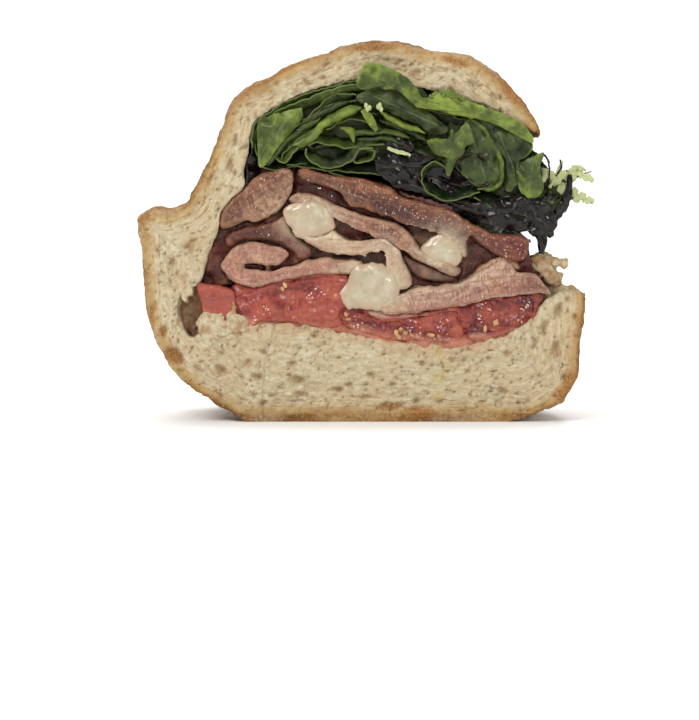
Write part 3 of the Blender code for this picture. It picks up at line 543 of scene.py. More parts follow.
def keep(mesh, **named):
    """Stores under each name a number or a vector on each point; a lone number goes on all of them."""
    for name, values in named.items():
        values = np.full(len(mesh.vertices), values) if np.ndim(values) == 0 else values
        kind, field = ("FLOAT", "value") if values.ndim == 1 else ("FLOAT_VECTOR", "vector")
        kept = mesh.attributes.get(name) or mesh.attributes.new(name, kind, "POINT")
        kept.data.foreach_set(field, values.astype(np.float32).ravel())


def link(name, data):
    """A new object in the scene, at the origin."""
    made = bpy.data.objects.new(name, data)
    bpy.context.scene.collection.objects.link(made)
    return made


def piece_of(name, bm):
    """The bmesh as a smooth mesh in an object of its own."""
    mesh = bpy.data.meshes.new(name)
    bm.to_mesh(mesh)
    bm.free()
    made = link(name, mesh)
    mesh.shade_smooth()
    return made


def apply_modifiers(obj):
    """Puts the result of the object's modifiers in its mesh."""
    bpy.context.view_layer.update()
    graph = bpy.context.evaluated_depsgraph_get()
    made = bpy.data.meshes.new_from_object(obj.evaluated_get(graph))
    obj.modifiers.clear()
    old, obj.data = obj.data, made
    bpy.data.meshes.remove(old)
    obj.data.shade_smooth()


def fine_copy(node, name, voxel):
    """A merged copy of a CAD node, remeshed to even faces of about voxel millimetres."""
    bm = bmesh.new()
    bm.from_mesh(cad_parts[node].data)
    bmesh.ops.remove_doubles(bm, verts=bm.verts, dist=1e-5)
    made = piece_of(name, bm)
    even_faces(made, voxel)
    return made


def split_cut_face(obj):
    """Halves the faces of the cut, where the camera sees most."""
    bm = bmesh.new()
    bm.from_mesh(obj.data)
    bm.normal_update()
    front = (CUT_BAND - HALF_DEPTH / 2) * MM
    edges = {e for f in bm.faces if f.normal.y < -0.6 and f.calc_center_median().y < front for e in f.edges}
    bmesh.ops.subdivide_edges(bm, edges=list(edges), cuts=1, use_grid_fill=True, smooth=0.0)
    bmesh.ops.triangulate(bm, faces=[f for f in bm.faces if len(f.verts) > 4])
    bm.to_mesh(obj.data)
    bm.free()


def in_space(points):
    """Places of a section with a third number, 0, beside their x and z."""
    return np.column_stack([points, np.zeros(len(points))])


def nearest(points, targets):
    """For each point, the distance to the nearest target and which it is, in space or in a section."""
    if points.shape[1] == 2:
        points, targets = in_space(points), in_space(targets)
    tree = kdtree.KDTree(len(targets))
    for i, target in enumerate(targets):
        tree.insert(target, i)
    tree.balance()
    found = [tree.find(p)[1:] for p in points]
    return np.array([f[1] for f in found]), np.array([f[0] for f in found])


def settle(obj, node):
    """The piece rides with the roll and stands for its CAD nodes, which it hides."""
    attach(obj, "root")
    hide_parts(*([node] if isinstance(node, str) else node))


def hollow(points, holes, seed):
    """Depth of the crumb's holes at each point, in millimetres, and how far into one each point lies; for the
    holes that share is painted as shade.
    """
    sink, shade = np.zeros(len(points)), np.zeros(len(points))
    ragged = soft_noise(in_space(points), 0.9, seed, 2) * 0.35
    for x, z, long_side, short_side, turn, depth in holes:
        dx, dz = points[:, 0] - x, points[:, 1] - z
        near = np.flatnonzero(np.maximum(np.abs(dx), np.abs(dz)) < max(long_side, short_side) * 1.5)
        if not len(near):
            continue
        c, s = math.cos(math.radians(turn)), math.sin(math.radians(turn))
        along = (dx[near] * c + dz[near] * s) / long_side
        side = (dz[near] * c - dx[near] * s) / short_side
        inside = unit(1 - (along**2 + side**2) + ragged[near]) ** 0.6
        sink[near] = np.maximum(sink[near], inside * depth)
        shade[near] = np.maximum(shade[near], inside)
    return sink, shade


def small_holes(points, crust_turn, rind, count, draw):
    """Seeded small holes in the crumb, drawn out along the crust."""
    crumb = np.flatnonzero(rind > 1.4)
    holes = []
    for _ in range(count):
        i = crumb[draw.randrange(len(crumb))]
        size = 0.22 + 1.0 * draw.random() ** 5
        turn = math.degrees(crust_turn[i]) + draw.gauss(0, 24)
        holes.append((*points[i], size, size * draw.uniform(0.35, 0.8), turn, 0.3 + size * 0.6))
    return holes


def crust_finish(look):
    """Crust, crumb and all between, by how far in from the crust a point lies."""
    f = Finish("crust_and_crumb", 0.75)
    rind, hole, brown = f.stored("rind"), f.stored("hole"), f.stored("brown")
    soak, oil = f.stored("soak"), f.stored("oil")
    grain = f.noise(1.0, 4.0, (2.4, 0.8, 2.0), 3.0, f.stored_vector("grain"), 1.0)
    speckle = f.noise(0.55, 3.0, seed=7.0)
    cloud = f.noise(7.0, 3.0, seed=1.0)
    crumb = f.ramp(grain, [(0.28, (170, 148, 110)), (0.5, (197, 182, 149)), (0.7, (218, 208, 180))])
    speckled = f.ramp(speckle, [(0.3, (170, 150, 116)), (0.5, (198, 183, 150)), (0.7, (216, 206, 180))])
    crumb = f.mix(0.35, crumb, speckled)
    crumb = f.over(crumb, cloud, [(0.4, 0.0), (0.62, 0.35)], (196, 170, 128))
    # Painted shade: the crumb goes brown in its holes and cracks
    crumb = f.mix(f.times(f.math("POWER", hole, 1.2), 0.8), crumb, (146, 106, 62))
    streak = f.noise(1.0, 4.0, (2.6, 0.6, 2.2), 8.0, f.stored_vector("grain"), 1.0)
    depth_in = f.ramp(f.math("DIVIDE", rind, 10.0), [(0.4, 1.0), (0.9, 0.15)])
    crumb = f.mix(f.times(f.ramp(streak, [(0.54, 0.0), (0.68, 0.75)]), depth_in), crumb, (156, 116, 70))
    tan = f.mix(f.ramp(cloud, [(0.35, 0.0), (0.65, 1.0)]), (186, 152, 92), (166, 126, 72))
    wobble = f.plus(rind, f.swing(f.noise(2.2, 3.0, seed=9.0), 2.6))
    inner = f.mix(f.ramp(f.math("DIVIDE", wobble, 8.0), [(0.08, 0.05), (0.5, 1.0)], True), tan, crumb)
    skin = f.ramp(f.noise(11.0, 6.0, seed=4.0), [
        (0.30, (106, 68, 32)), (0.44, (136, 94, 48)), (0.56, (158, 116, 66)), (0.7, (178, 144, 94))])
    flour = f.ramp(f.noise(14.0, 6.0, (1.0, 1.0, 1.6), seed=12.0), [(0.46, 0.0), (0.64, 0.55)])
    skin = f.mix(flour, skin, (200, 180, 146))
    speck = f.noise(0.8, 3.0, seed=15.0)
    skin = f.over(skin, speck, [(0.34, 0.5), (0.48, 0.0)], (118, 78, 40))
    skin = f.over(skin, speck, [(0.54, 0.0), (0.7, 0.4)], (208, 188, 152))
    cracks = f.noise(5.0, 3.0, (1.0, 2.2, 0.8), seed=19.0)
    skin = f.over(skin, cracks, [(0.485, 0.0), (0.5, 0.6), (0.515, 0.0)], (122, 82, 44))
    edge = f.ramp(f.math("DIVIDE", f.plus(rind, f.swing(f.noise(1.4, 2.0, seed=2.0), 0.9)), 3.0),
                  [(0.2, 0.0), (0.5, 1.0)], True)
    colour = f.mix(edge, skin, inner)
    toasted = f.mix(f.ramp(speckle, [(0.35, 0.0), (0.6, 1.0)]), (118, 74, 36), (172, 120, 64))
    # Painted shade: the torn walls in the fissure beside the end slice are darkened
    fissure_shade_tone = f.mix(f.ramp(cloud, [(0.4, 0.0), (0.6, 1.0)]), (104, 64, 46), (64, 34, 28))
    toasted = f.mix(f.stored("dark"), toasted, fissure_shade_tone)
    colour = f.mix(f.times(brown, 0.85), colour, toasted)
    colour = f.mix(f.times(soak, 0.6), colour, (196, 138, 108))
    colour = f.mix(f.times(oil, 0.6), colour, (200, 178, 96))
    colour = f.tinted(colour, look.crust_tint)
    lumps = f.plus(f.times(speckle, 0.6), f.times(grain, 0.6))
    normal = f.bump(f.plus(lumps, f.noise(0.3, 2.0, seed=5.0)), 0.5, 0.8)
    return f.done(colour, normal, subsurface_weight=0.0, specular_ior_level=0.25)


def make_roll(look):
    """The hinged roll: craggy crust, cut crumb with its holes, and the torn walls of the pocket."""
    roll = fine_copy("bread_roll", "roll", look.face_size)
    split_cut_face(roll)
    mesh = roll.data
    points, facing = places(mesh), outward(mesh)
    cut = (points[:, 1] < CUT_BAND) & (facing[:, 1] < -0.35)
    outline = evenly(ROLL_OUTLINE, OUTLINE_STEPS, True)
    section = at_cut(points)
    pocket_gap, _ = nearest(section, evenly(POCKET_OUTLINE, OUTLINE_STEPS, True))
    toward = outline - np.roll(outline, 1, axis=0)
    share = np.clip(points[:, 1] / HALF_DEPTH, 0.0, 0.998)
    wide = (1 - share**END_ROUND) ** (1 / END_ROUND)
    top, base = ((1 - share**power) ** (1 / power) for power in (TOP_ROUND, BASE_ROUND))
    tall = np.where(points[:, 2] > SEAM_HEIGHT, top, base)
    shell = np.column_stack([points[:, 0] / wide, SEAM_HEIGHT + (points[:, 2] - SEAM_HEIGHT) / tall])
    shell_gap, shell_spot = nearest(shell, outline)
    away = np.stack([toward[shell_spot, 1], -toward[shell_spot, 0]], axis=1)
    away /= np.linalg.norm(away, axis=1)[:, None]
    shown = np.abs(np.sum(away * facing[:, [0, 2]], axis=1)) > 0.7
    outer = ~cut & (shell_gap * np.minimum(wide, tall) < 2.4) & ((pocket_gap > 1.6) | shown)
    outer |= (points[:, 2] < 1.0) | (points[:, 1] > HALF_DEPTH * 0.97)
    rind, _ = nearest(points, points[outer])
    rind = np.where(outer, 0.0, rind)
    turn = np.arctan2(toward[shell_spot, 1], toward[shell_spot, 0])
    draw = random.Random(look.seed)
    front = np.flatnonzero(cut)
    flat = points[front][:, [0, 2]]
    holes = CRUMB_HOLES + small_holes(flat, turn[front], rind[front], look.hole_count, draw)
    sink, shade = hollow(flat, holes, 5)
    hole = np.zeros(len(points))
    move = np.zeros_like(points)
    rim = unit(rind[front] / 1.2)
    strands = np.column_stack([shell_spot[front] * 0.12, rind[front] * 1.4, np.zeros(len(front))])
    lumps = 1 - np.abs(soft_noise(points[front], 2.4, 8, 2)) * 2.2
    strands = 1 - np.abs(soft_noise(strands, 1.6, 12, 2)) * 2.2
    sparse = unit(0.5 + soft_noise(points[front], 7.0, 23, 2) * 1.6)
    cracks = (unit(lumps - 0.8) * 1.5 + unit(strands - 0.74) * 1.6) * (0.3 + 0.7 * sparse)
    waves = soft_noise(points[front], 4.5, 9, 2) * 0.8 + soft_noise(points[front], 1.2, 19, 2) * 0.5
    move[front, 1] = sink * rim + (cracks - 0.25 + waves) * (0.3 + 0.7 * rim)
    # Painted shade in the holes and along the cracks of the cut crumb
    hole[front] = np.maximum(shade * 0.8, np.clip(cracks - 0.08, 0.0, 0.6) * rim)
    crust = np.where(outer, 1.0, 0.0)
    relief = soft_noise(points, 3.0, 21, 3) * 0.6 - np.abs(soft_noise(points, 4.2, 33, 2)) * 0.5
    relief += soft_noise(points, 1.1, 37, 2) * 0.28
    lift = unit(points[:, 2] / 3.0)
    move += facing * (relief * crust * lift)[:, None]
    torn = ~cut & ~outer
    scrap = np.exp(-(((points[:, 0] - 45.0) / 5.0) ** 2 + ((points[:, 2] - 34.0) / 5.0) ** 2))
    scrap = scrap * (points[:, 1] < 24.0)
    ragged = soft_noise(points, 1.9, 43, 3) * 2.4 - np.abs(soft_noise(points, 3.0, 45, 2)) * 1.6
    move += facing * (ragged * scrap)[:, None]
    # Painted shade on the torn scrap at the open side too
    hole = np.maximum(hole, scrap * np.clip(0.45 + soft_noise(points, 1.6, 47, 2), 0.0, 0.9))
    move += facing * (np.where(torn, soft_noise(points, 2.4, 41, 3) * 0.45, 0.0))[:, None]
    floor_edge = unit(1 - pocket_gap / 2.2) * (section[:, 1] < 25.5) * (np.abs(section[:, 0] - 2.0) < 37.0)
    floor_edge = floor_edge * unit((4.0 - points[:, 1]) / 2.5)
    move[:, 2] += floor_edge * (0.5 + soft_noise(points * (1, 0.5, 0), 1.8, 55, 2) * 1.5)
    move[:, 1] -= floor_edge * (0.7 + soft_noise(points, 1.6, 57, 2) * 0.5)
    points += move
    low = points[:, 2] < 0.25
    points[low, 2] = np.maximum(points[low, 2], 0.0)
    move_to(mesh, points)
    keep(mesh, rind=rind)
    keep(mesh, hole=hole)
    _, brown = hollow(points[:, [0, 2]], [(*patch, 1.0) for patch in BROWN_PATCHES], 6)
    tear = torn & (points[:, 0] < -33.5) & (points[:, 2] < 33.0)
    brown = np.where(rind < 4.0, brown, 0.0) * (points[:, 1] < 6.0)
    brown = np.where(tear, 0.55 + soft_noise(points, 2.0, 49, 2) * 0.6, brown)
    keep(mesh, brown=unit(brown))
    # Marks the torn walls of the fissure for painted shade
    keep(mesh, dark=tear.astype(float))
    low_wall = unit(1 - pocket_gap / 2.6) * (section[:, 1] < 25.0) * (np.abs(section[:, 0]) < 34.0)
    keep(mesh, soak=low_wall * unit(0.6 + soft_noise(points, 3.0, 51, 2)))
    drip = np.exp(-(((points[:, 0] - 18.5 - 0.8 * np.sin(points[:, 2] * 0.6)) / 1.3) ** 2))
    drip = drip * np.clip(0.45 + soft_noise(points, 2.0, 53, 2) * 1.6, 0.0, 0.8)
    keep(mesh, oil=drip * (points[:, 2] > 3.0) * (points[:, 2] < 17.0) * cut)
    keep(mesh, grain=np.column_stack([shell_spot * 0.2, rind, points[:, 1]]))
    finish = crust_finish(look)
    mesh.materials.append(finish)
    settle(roll, "bread_roll")
    make_crumbs(finish)


def make_crumbs(finish):
    """Torn crumb: lumps, wall and shred beside the end slice, and flap and scrap at the open side."""
    for name, (outline, front, back, shade, voxel) in CRUMB_PIECES.items():
        piece = solid_through(name, outline, front, back, CRUMB_EDGE)
        even_faces(piece, voxel)
        points, facing = places(piece.data), outward(piece.data)
        torn = soft_noise(points, 1.7, 81, 3) * 0.7 - np.abs(soft_noise(points, 2.4, 87, 2)) * 0.5
        points += facing * torn[:, None]
        points[:, 1] += soft_noise(points * NO_DEPTH, 2.2, 83, 2) * 0.9 * (back - front > 5.0)
        points += facing * (soft_noise(points, 0.8, 89, 2) * 0.35)[:, None]
        move_to(piece.data, points)
        rough = soft_noise(points, 1.1, 85, 2)
        # Painted shade: blotchy on every piece, and dark over the wall in the fissure
        keep(piece.data, rind=6.0, oil=0.0, dark=0.9 * (shade == 1.0), grain=points,
             hole=unit(shade + rough * 1.1), brown=unit((shade - 0.25) * 1.1 + rough * 0.4),
             soak=unit(0.1 + rough) * 0.5 * (points[:, 0] < 36.0))
        piece.data.materials.append(finish)
        settle(piece, "bread_roll")


def bacon_finish(name, tones, look):
    """Cured meat at its cut: fibres across the rasher, a browned rim, and a wet sheen."""
    rim, middle, lower, end = tones
    # Scales the pale flecks, partly fat and partly painted glints, by how pale the rim tone is
    pale = min(sum(tones[0]) / 420, 1.0) ** 3
    f = Finish(name, 0.38)
    across, along = f.stored("across"), f.stored("along")
    strand = f.stored_vector("strand")
    cloud = f.noise(3.0, 4.0, seed=2.0)
    fibres = f.noise(1.0, 3.0, (0.45, 2.6, 2.4), 1.0, strand, 1.0)
    fine = f.noise(0.5, 3.0, seed=4.0)
    height = f.plus(across, f.swing(cloud, 1.6))
    colour = f.ramp(f.math("MULTIPLY_ADD", height, 0.5, 0.5), [(0.1, lower), (0.42, middle), (0.82, rim)])
    streaks = f.noise(1.0, 2.0, (7.0, 0.8, 5.0), 6.0, strand, 1.0)
    colour = f.over(colour, streaks, [(0.58, 0.0), (0.68, 0.5)], f.mix(0.35 * pale, rim, (206, 178, 156)))
    colour = f.over(colour, streaks, [(0.34, 0.6), (0.44, 0.0)], lower)
    turned = f.plus(along, f.swing(cloud, 0.3))
    colour = f.over(colour, turned, [(0.78, 0.0), (0.9, 1.0)], end)
    colour = f.over(colour, fibres, [(0.36, 0.75), (0.5, 0.0)], f.mix(0.5, lower, (72, 30, 24)))
    # Pale flecks on the fibres and fine grain: partly fat, partly painted glints
    colour = f.over(colour, fibres, [(0.52, 0.0), (0.68, 0.45)], f.mix(0.5 * pale, rim, (214, 180, 150)))
    colour = f.over(colour, fine, [(0.56, 0.0), (0.7, 0.45)], f.mix(0.55 * pale, rim, (222, 192, 162)))
    colour = f.over(colour, fine, [(0.3, 0.45), (0.42, 0.0)], f.mix(0.6, lower, (64, 26, 20)))
    blotch = f.ramp(f.noise(2.0, 3.0, seed=8.0), [(0.34, 0.7), (0.5, 0.0)])
    colour = f.mix(blotch, colour, f.mix(0.5, middle, (112, 48, 40)))
    amber = f.ramp(f.noise(3.4, 3.0, seed=14.0), [(0.56, 0.0), (0.68, 0.5)])
    colour = f.mix(amber, colour, (160, 104, 64))
    colour = f.mix(f.times(f.stored("seam"), 0.45), colour, f.mix(0.5, lower, (60, 26, 22)))
    # Pale line along the cut outline: partly fat membrane, partly a painted highlight where the edges catch
    # the light
    colour = f.mix(f.times(f.stored("rim"), 0.45), colour, f.mix(0.4 * pale, rim, (214, 190, 162)))
    colour = f.mix(f.stored("cream"), colour, (194, 178, 148))
    colour = f.tinted(colour, look.bacon_tint)
    ridges = f.plus(fibres, f.times(fine, 0.8))
    normal = f.bump(ridges, 0.35, 0.9)
    rough = f.ramp(f.noise(0.9, 2.0, seed=6.0), [(0.4, 0.2), (0.62, 0.5)])
    return f.done(colour, normal, rough, subsurface_weight=0.05, subsurface_scale=0.002,
                  specular_ior_level=0.3, coat_weight=0.22, coat_roughness=0.06)


def follow(points, line):
    """Each point's share along a line of the section, its distance beside it, and the line's length."""
    run = evenly(line, LINE_STEPS)
    section = at_cut(points)
    spot = nearest(section, run)[1]
    heading = np.gradient(run, axis=0)
    heading /= np.linalg.norm(heading, axis=1)[:, None]
    reach = section - run[spot]
    beside = heading[spot, 0] * reach[:, 1] - heading[spot, 1] * reach[:, 0]
    return spot / (LINE_STEPS - 1), beside, np.linalg.norm(np.diff(run, axis=0), axis=1).sum()


def within(section, outline):
    """Which places of the section lie inside an outline."""
    ring = evenly(outline, 60, True)
    after = np.roll(ring, -1, axis=0)
    height = section[:, None, 1]
    crosses = (ring[:, 1] > height) != (after[:, 1] > height)
    across, up = (after - ring).T
    crossing = ring[:, 0] + (height - ring[:, 1]) * across / (up + 1e-12)
    return (crosses & (section[:, None, 0] < crossing)).sum(axis=1) % 2 == 1


def cream_over(points):
    """How much mayonnaise has spread over each point, fading out around the smears."""
    gap = np.full(len(points), 9.0)
    for smear, _, last in SMEARS.values():
        near = np.flatnonzero(points[:, 1] < last - 2.0)
        away = np.where(within(at_cut(points[near]), smear), 0.0, rim_gap(points[near], smear))
        gap[near] = np.minimum(gap[near], away)
    return np.exp(-gap / 1.9) * np.where(gap == 0.0, 1.0, unit(0.85 + soft_noise(points, 1.6, 91, 2) * 1.2))


def make_rasher(name, node, section, look):
    """One folded rasher: a crisp cut edge, seams along it, fibres across it, and rippled faces."""
    outline, front, back, tuck, tones = section
    piece = solid_through(name, outline, front, back, RASHER_EDGE, tuck)
    even_faces(piece, look.face_size)
    split_cut_face(piece)
    mesh = piece.data
    points, facing = places(mesh), outward(mesh)
    along, beside, length = follow(points, BACON_LINES[node])
    gap = rim_gap(points, outline)
    seed = len(name) + int(length)
    face = unit(-facing[:, 1]) * unit((front + 2.0 - points[:, 1]) / 1.0)
    strand = np.column_stack([along * length, beside, points[:, 1]])
    strand += soft_noise(points, 2.2, seed + 15, 2)[:, None] * (1.2, 0.5, 0.0)
    seams = np.exp(-((soft_noise(strand * (0.22, 1.0, 0.0), 1.5, seed + 2, 2) / 0.1) ** 2))
    seams = seams * unit(gap / 0.8)
    ribs = soft_noise(strand * (1.0, 0.22, 0.3), 0.8, seed + 4)
    ripple = soft_noise(points * (1, 0.5, 1), 2.6, seed + 3, 2) * look.ripple
    crinkle = soft_noise(points, 1.0, seed + 5, 2) * 0.12
    ragged = soft_noise(points * (1, 0.3, 1), 2.4, seed + 13, 2) * look.ragged + 0.1
    ragged = (ragged + soft_noise(points * (1, 0.4, 1), 0.9, seed + 17, 2) * look.ragged * 0.6) * (1 - face)
    points += facing * (ripple * (1 - 0.5 * face) + crinkle + ragged)[:, None]
    swell = soft_noise(points * NO_DEPTH, 3.4, seed + 11, 2) * 0.8
    points[:, 1] += face * (seams * 0.3 - ribs * 0.2 + swell)
    points[:, 1] -= face * 0.25 * np.exp(-(((gap - 0.7) / 0.5) ** 2))
    move_to(mesh, points)
    # rim marks that pale line along the cut outline, partly a painted highlight
    keep(mesh, across=np.clip(beside / 2.4, -1.0, 1.0), along=along, strand=strand, seam=seams * face,
         rim=np.exp(-gap / 0.45) * unit((6.0 - points[:, 1]) / 4.0), cream=cream_over(points))
    mesh.materials.append(bacon_finish(f"{name}_meat", tones, look))
    settle(piece, node)
    return points[face > 0.8]


def solid_through(name, outline, front, back, edge=((0.0, 0.0),), tuck=0.0):
    """A closed solid of the given section, carried back through the pocket.

    The front edge is rounded by the given steps: how far in from the outline, and how far behind the front.
    """
    run = evenly(outline, 400, True)
    length = np.linalg.norm(np.diff(run, axis=0), axis=1).sum()
    ring = evenly(outline, max(60, round(length / 0.45)), True)
    heading = np.roll(ring, -1, axis=0) - np.roll(ring, 1, axis=0)
    heading /= np.linalg.norm(heading, axis=1)[:, None]
    inward = np.column_stack([-heading[:, 1], heading[:, 0]])
    if np.sum(ring[:, 0] * np.roll(ring[:, 1], -1) - np.roll(ring[:, 0], -1) * ring[:, 1]) < 0:
        inward = -inward
    steps = [(front + behind, inset) for inset, behind in edge]
    steps += [(depth, edge[-1][0]) for depth in np.linspace(steps[-1][0] + 1.0, back, 20)]
    rings = []
    for depth, inset in steps:
        flat = ring + inward * inset
        drawn = tuck * unit(depth / 6.0)
        share = unit((flat[:, 0] - ring[:, 0].min()) / np.ptp(ring[:, 0]))
        flat[:, 0] -= drawn * share**4
        flat = np.vstack([flat, flat[:1]])
        rings.append(in_pocket(np.column_stack([flat[:, 0], np.full(len(flat), depth), flat[:, 1]])))
    bm = bmesh.new()
    verts = bmesh.ops.create_grid(bm, x_segments=len(ring), y_segments=len(rings) - 1, size=1.0)["verts"]
    for vert, place in zip(verts, in_frame(np.vstack(rings))):
        vert.co = place
    bmesh.ops.remove_doubles(bm, verts=bm.verts, dist=1e-6)
    bmesh.ops.holes_fill(bm, edges=bm.edges, sides=0)
    bmesh.ops.recalc_face_normals(bm, faces=bm.faces)
    return piece_of(name, bm)


def even_faces(obj, voxel):
    """Remeshes a closed piece to even faces of about voxel millimetres, and clears its materials."""
    step = obj.modifiers.new("even faces", "REMESH")
    step.mode = "VOXEL"
    step.voxel_size = voxel * MM
    apply_modifiers(obj)
    obj.data.materials.clear()
    obj.data.polygons.foreach_set("material_index", [0] * len(obj.data.polygons))


def packing(name, outline, front, back, neighbours, voxel):
    """What the section leaves free between its neighbours, as one solid set back from the cut."""
    bed = solid_through(name, outline, front, back)
    cut = bed.modifiers.new("neighbours", "BOOLEAN")
    cutters = [solid_through(f"{name}_cutter", section, first, last, tuck=tuck)
               for section, first, last, tuck in neighbours]
    cutter = cutters[0]
    bm = bmesh.new()
    for other in cutters:
        bm.from_mesh(other.data)
    bm.to_mesh(cutter.data)
    bm.free()
    cut.operation, cut.solver, cut.object = "DIFFERENCE", "MANIFOLD", cutter
    even_faces(bed, voxel)
    for other in cutters:
        bpy.data.meshes.remove(other.data)
    return bed


def rim_gap(points, outline):
    """How far in from its section's outline each point lies, in millimetres."""
    return nearest(at_cut(points), evenly(outline, SECTION_STEPS, True))[0]


def neighbours_of(*groups):
    """Sections, end depths and tucks of the pieces that a packing goes round."""
    found = []
    for group in groups:
        for entry in group.values():
            parts = [part for part in entry if not isinstance(part, str)]
            tuck = parts[3] if group in (RASHERS, BANDS) else 0.0
            found.append((parts[0], parts[1], parts[2] + 2.0, tuck))
    return found


def make_packed_meat(look):
    """The trimmings packed between the rashers, wet, and painted dark as the shade in their recesses."""
    around = neighbours_of(RASHERS, BANDS, SMEARS)
    bed = packing("rasher_trimmings", MEAT_BED, TRIMMING_DEPTH, 50.0, around, BED_VOXEL)
    mesh = bed.data
    points, facing = places(mesh), outward(mesh)
    front = unit(1 - (points[:, 1] - TRIMMING_DEPTH) / 3.0)
    points[:, 1] += front * soft_noise(points * NO_DEPTH, 3.4, 61, 2) * 1.6
    points += facing * (soft_noise(points, 1.8, 63, 2) * 0.3)[:, None]
    move_to(mesh, points)
    keep(mesh, across=soft_noise(points, 4.5, 65, 2), along=0.2, strand=points, seam=0.0, rim=0.0,
         cream=cream_over(points) * 0.25)
    mesh.materials.append(bacon_finish("trimmings_shaded_meat", TRIMMING_SHADE_TONES, look))
    settle(bed, "bacon_dark")


def tomato_finish(name, flesh, deep, look):
    """Wet tomato flesh: red above, paler towards the seeds and the crumb below."""
    f = Finish(name, 0.12)
    cloud = f.noise(3.2, 4.0, (1.6, 1.0, 0.8), seed=3.0)
    fine = f.noise(0.7, 3.0, seed=5.0)
    colour = f.ramp(cloud, [(0.36, deep), (0.5, flesh), (0.7, (160, 74, 52))])
    colour = f.over(colour, fine, [(0.56, 0.0), (0.74, 0.3)], (186, 108, 82))
    low = f.plus(f.stored("low"), f.swing(cloud, 0.8))
    colour = f.over(colour, low, [(0.04, 0.7), (0.3, 0.0)], (194, 128, 100))
    amber = f.ramp(f.noise(4.0, 2.0, seed=17.0), [(0.55, 0.0), (0.68, 0.55)])
    colour = f.mix(amber, colour, (180, 96, 62))
    colour = f.tinted(colour, look.tomato_tint)
    wet = f.bump(f.plus(cloud, f.times(fine, 0.7)), 0.7, 0.9)
    rough = f.ramp(f.noise(1.2, 2.0, seed=9.0), [(0.42, 0.05), (0.62, 0.3)])
    return f.done(colour, wet, rough, specular_ior_level=0.3, coat_weight=0.4, coat_roughness=0.03)


def dress_tomato(piece, node, material):
    """Stores how high above the floor each point of a slice lies, and settles the piece."""
    points = places(piece.data)
    floor = np.interp(points[:, 0], *zip(*TOMATO_FLOOR))
    keep(piece.data, low=unit((at_cut(points)[:, 1] - floor) / 6.0))
    piece.data.materials.append(material)
    settle(piece, node)


def make_tomato(node, section, look):
    """One wet slice, its cut face dimpled, swollen and glistening."""
    outline, front, back, flesh, deep = section
    piece = solid_through(node.replace("tomato", "tomato_slice"), outline, front, back, SLICE_EDGE)
    even_faces(piece, look.face_size)
    split_cut_face(piece)
    mesh = piece.data
    points, facing = places(mesh), outward(mesh)
    seed = len(node)
    face = unit(-facing[:, 1]) * (points[:, 1] < front + 2.0)
    wet = 0.35 if node == "tomato_end" else 1.0
    flat = points * NO_DEPTH
    dimples = np.abs(soft_noise(flat, 3.2, seed, 2)) * 1.5 + soft_noise(flat, 1.1, seed + 2, 2) * 0.45
    points[:, 1] += face * wet * (dimples - 0.3)
    beads = np.flatnonzero(face > 0.8)
    points += facing * ((soft_noise(points, 2.2, seed + 4, 2) * look.swell + 0.3) * (1 - face))[:, None]
    move_to(mesh, points)
    dress_tomato(piece, node, tomato_finish(f"{node}_flesh", flesh, deep, look))
    return points[beads] if wet == 1.0 else points[:0]


def make_pulp(look):
    """The pulp and juice pressed between the slices and down on to the crumb."""
    around = neighbours_of(SLICES, RASHERS, BANDS, SMEARS)
    bed = packing("tomato_pulp", PULP_BED, PULP_DEPTH, 48.0, around, BED_VOXEL)
    mesh = bed.data
    points, facing = places(mesh), outward(mesh)
    front = unit(1 - (points[:, 1] - PULP_DEPTH) / 3.0)
    points[:, 1] += front * (soft_noise(points * NO_DEPTH, 2.4, 67, 2) * 0.9 + 0.2)
    points += facing * (soft_noise(points, 1.4, 69, 2) * 0.3 + 0.15)[:, None]
    move_to(mesh, points)
    dress_tomato(bed, "tomato_left", tomato_finish("tomato_pulp_flesh", (132, 50, 40), (88, 22, 22), look))



def gathered(spots, clusters, reach, draw):
    """Those of the given places that lie near a few of them, drawn at random."""
    spots = spots[::SPOTS_A_BEAD]
    centres = np.array([spots[draw.randrange(len(spots))] for _ in range(clusters)])
    return spots[nearest(spots, centres)[0] < reach]


def scatter_beads(name, spots, count, sizes, draw):
    """Small rounded beads of juice or fat that catch the light, sunk into the given places."""
    joined = bpy.data.meshes.new("beads")
    whole = bmesh.new()
    for made in range(0, count, BEADS_A_BATCH):
        batch = bmesh.new()
        for _ in range(min(BEADS_A_BATCH, count - made)):
            x, depth, z = spots[draw.randrange(len(spots))]
            size = draw.uniform(*sizes)
            turn = Matrix.Rotation(draw.uniform(0.0, math.pi), 4, "Y")
            shape = Matrix.Diagonal((size * draw.uniform(1.0, 2.2) * MM, size * 0.7 * MM, size * MM, 1.0))
            place = Matrix.Translation(Vector(in_frame([x, depth - size * 0.1, z])))
            bmesh.ops.create_uvsphere(batch, u_segments=8, v_segments=5, radius=1.0,
                                      matrix=place @ turn @ shape)
        batch.to_mesh(joined)
        batch.free()
        whole.from_mesh(joined)
    bpy.data.meshes.remove(joined)
    return piece_of(name, whole)


def bead_finish(name, tones):
    """A wet bead with a clear coat; its paler tone paints a glint over the flesh's colour, except on the
    seeds, whose tones are their own.
    """
    f = Finish(name, 0.05)
    colour = f.ramp(f.noise(1.5, 2.0, seed=1.0), [(0.35, tones[0]), (0.65, tones[1])])
    return f.done(colour, coat_weight=1.0, coat_roughness=0.02)


def make_beads(name, node, spots, count, draw):
    """One kind of bead, scattered, finished and settled."""
    sizes, *tones = BEADS[name]
    beads = scatter_beads(name, spots, count, sizes, draw)
    beads.data.materials.append(bead_finish(name, tones))
    settle(beads, node)


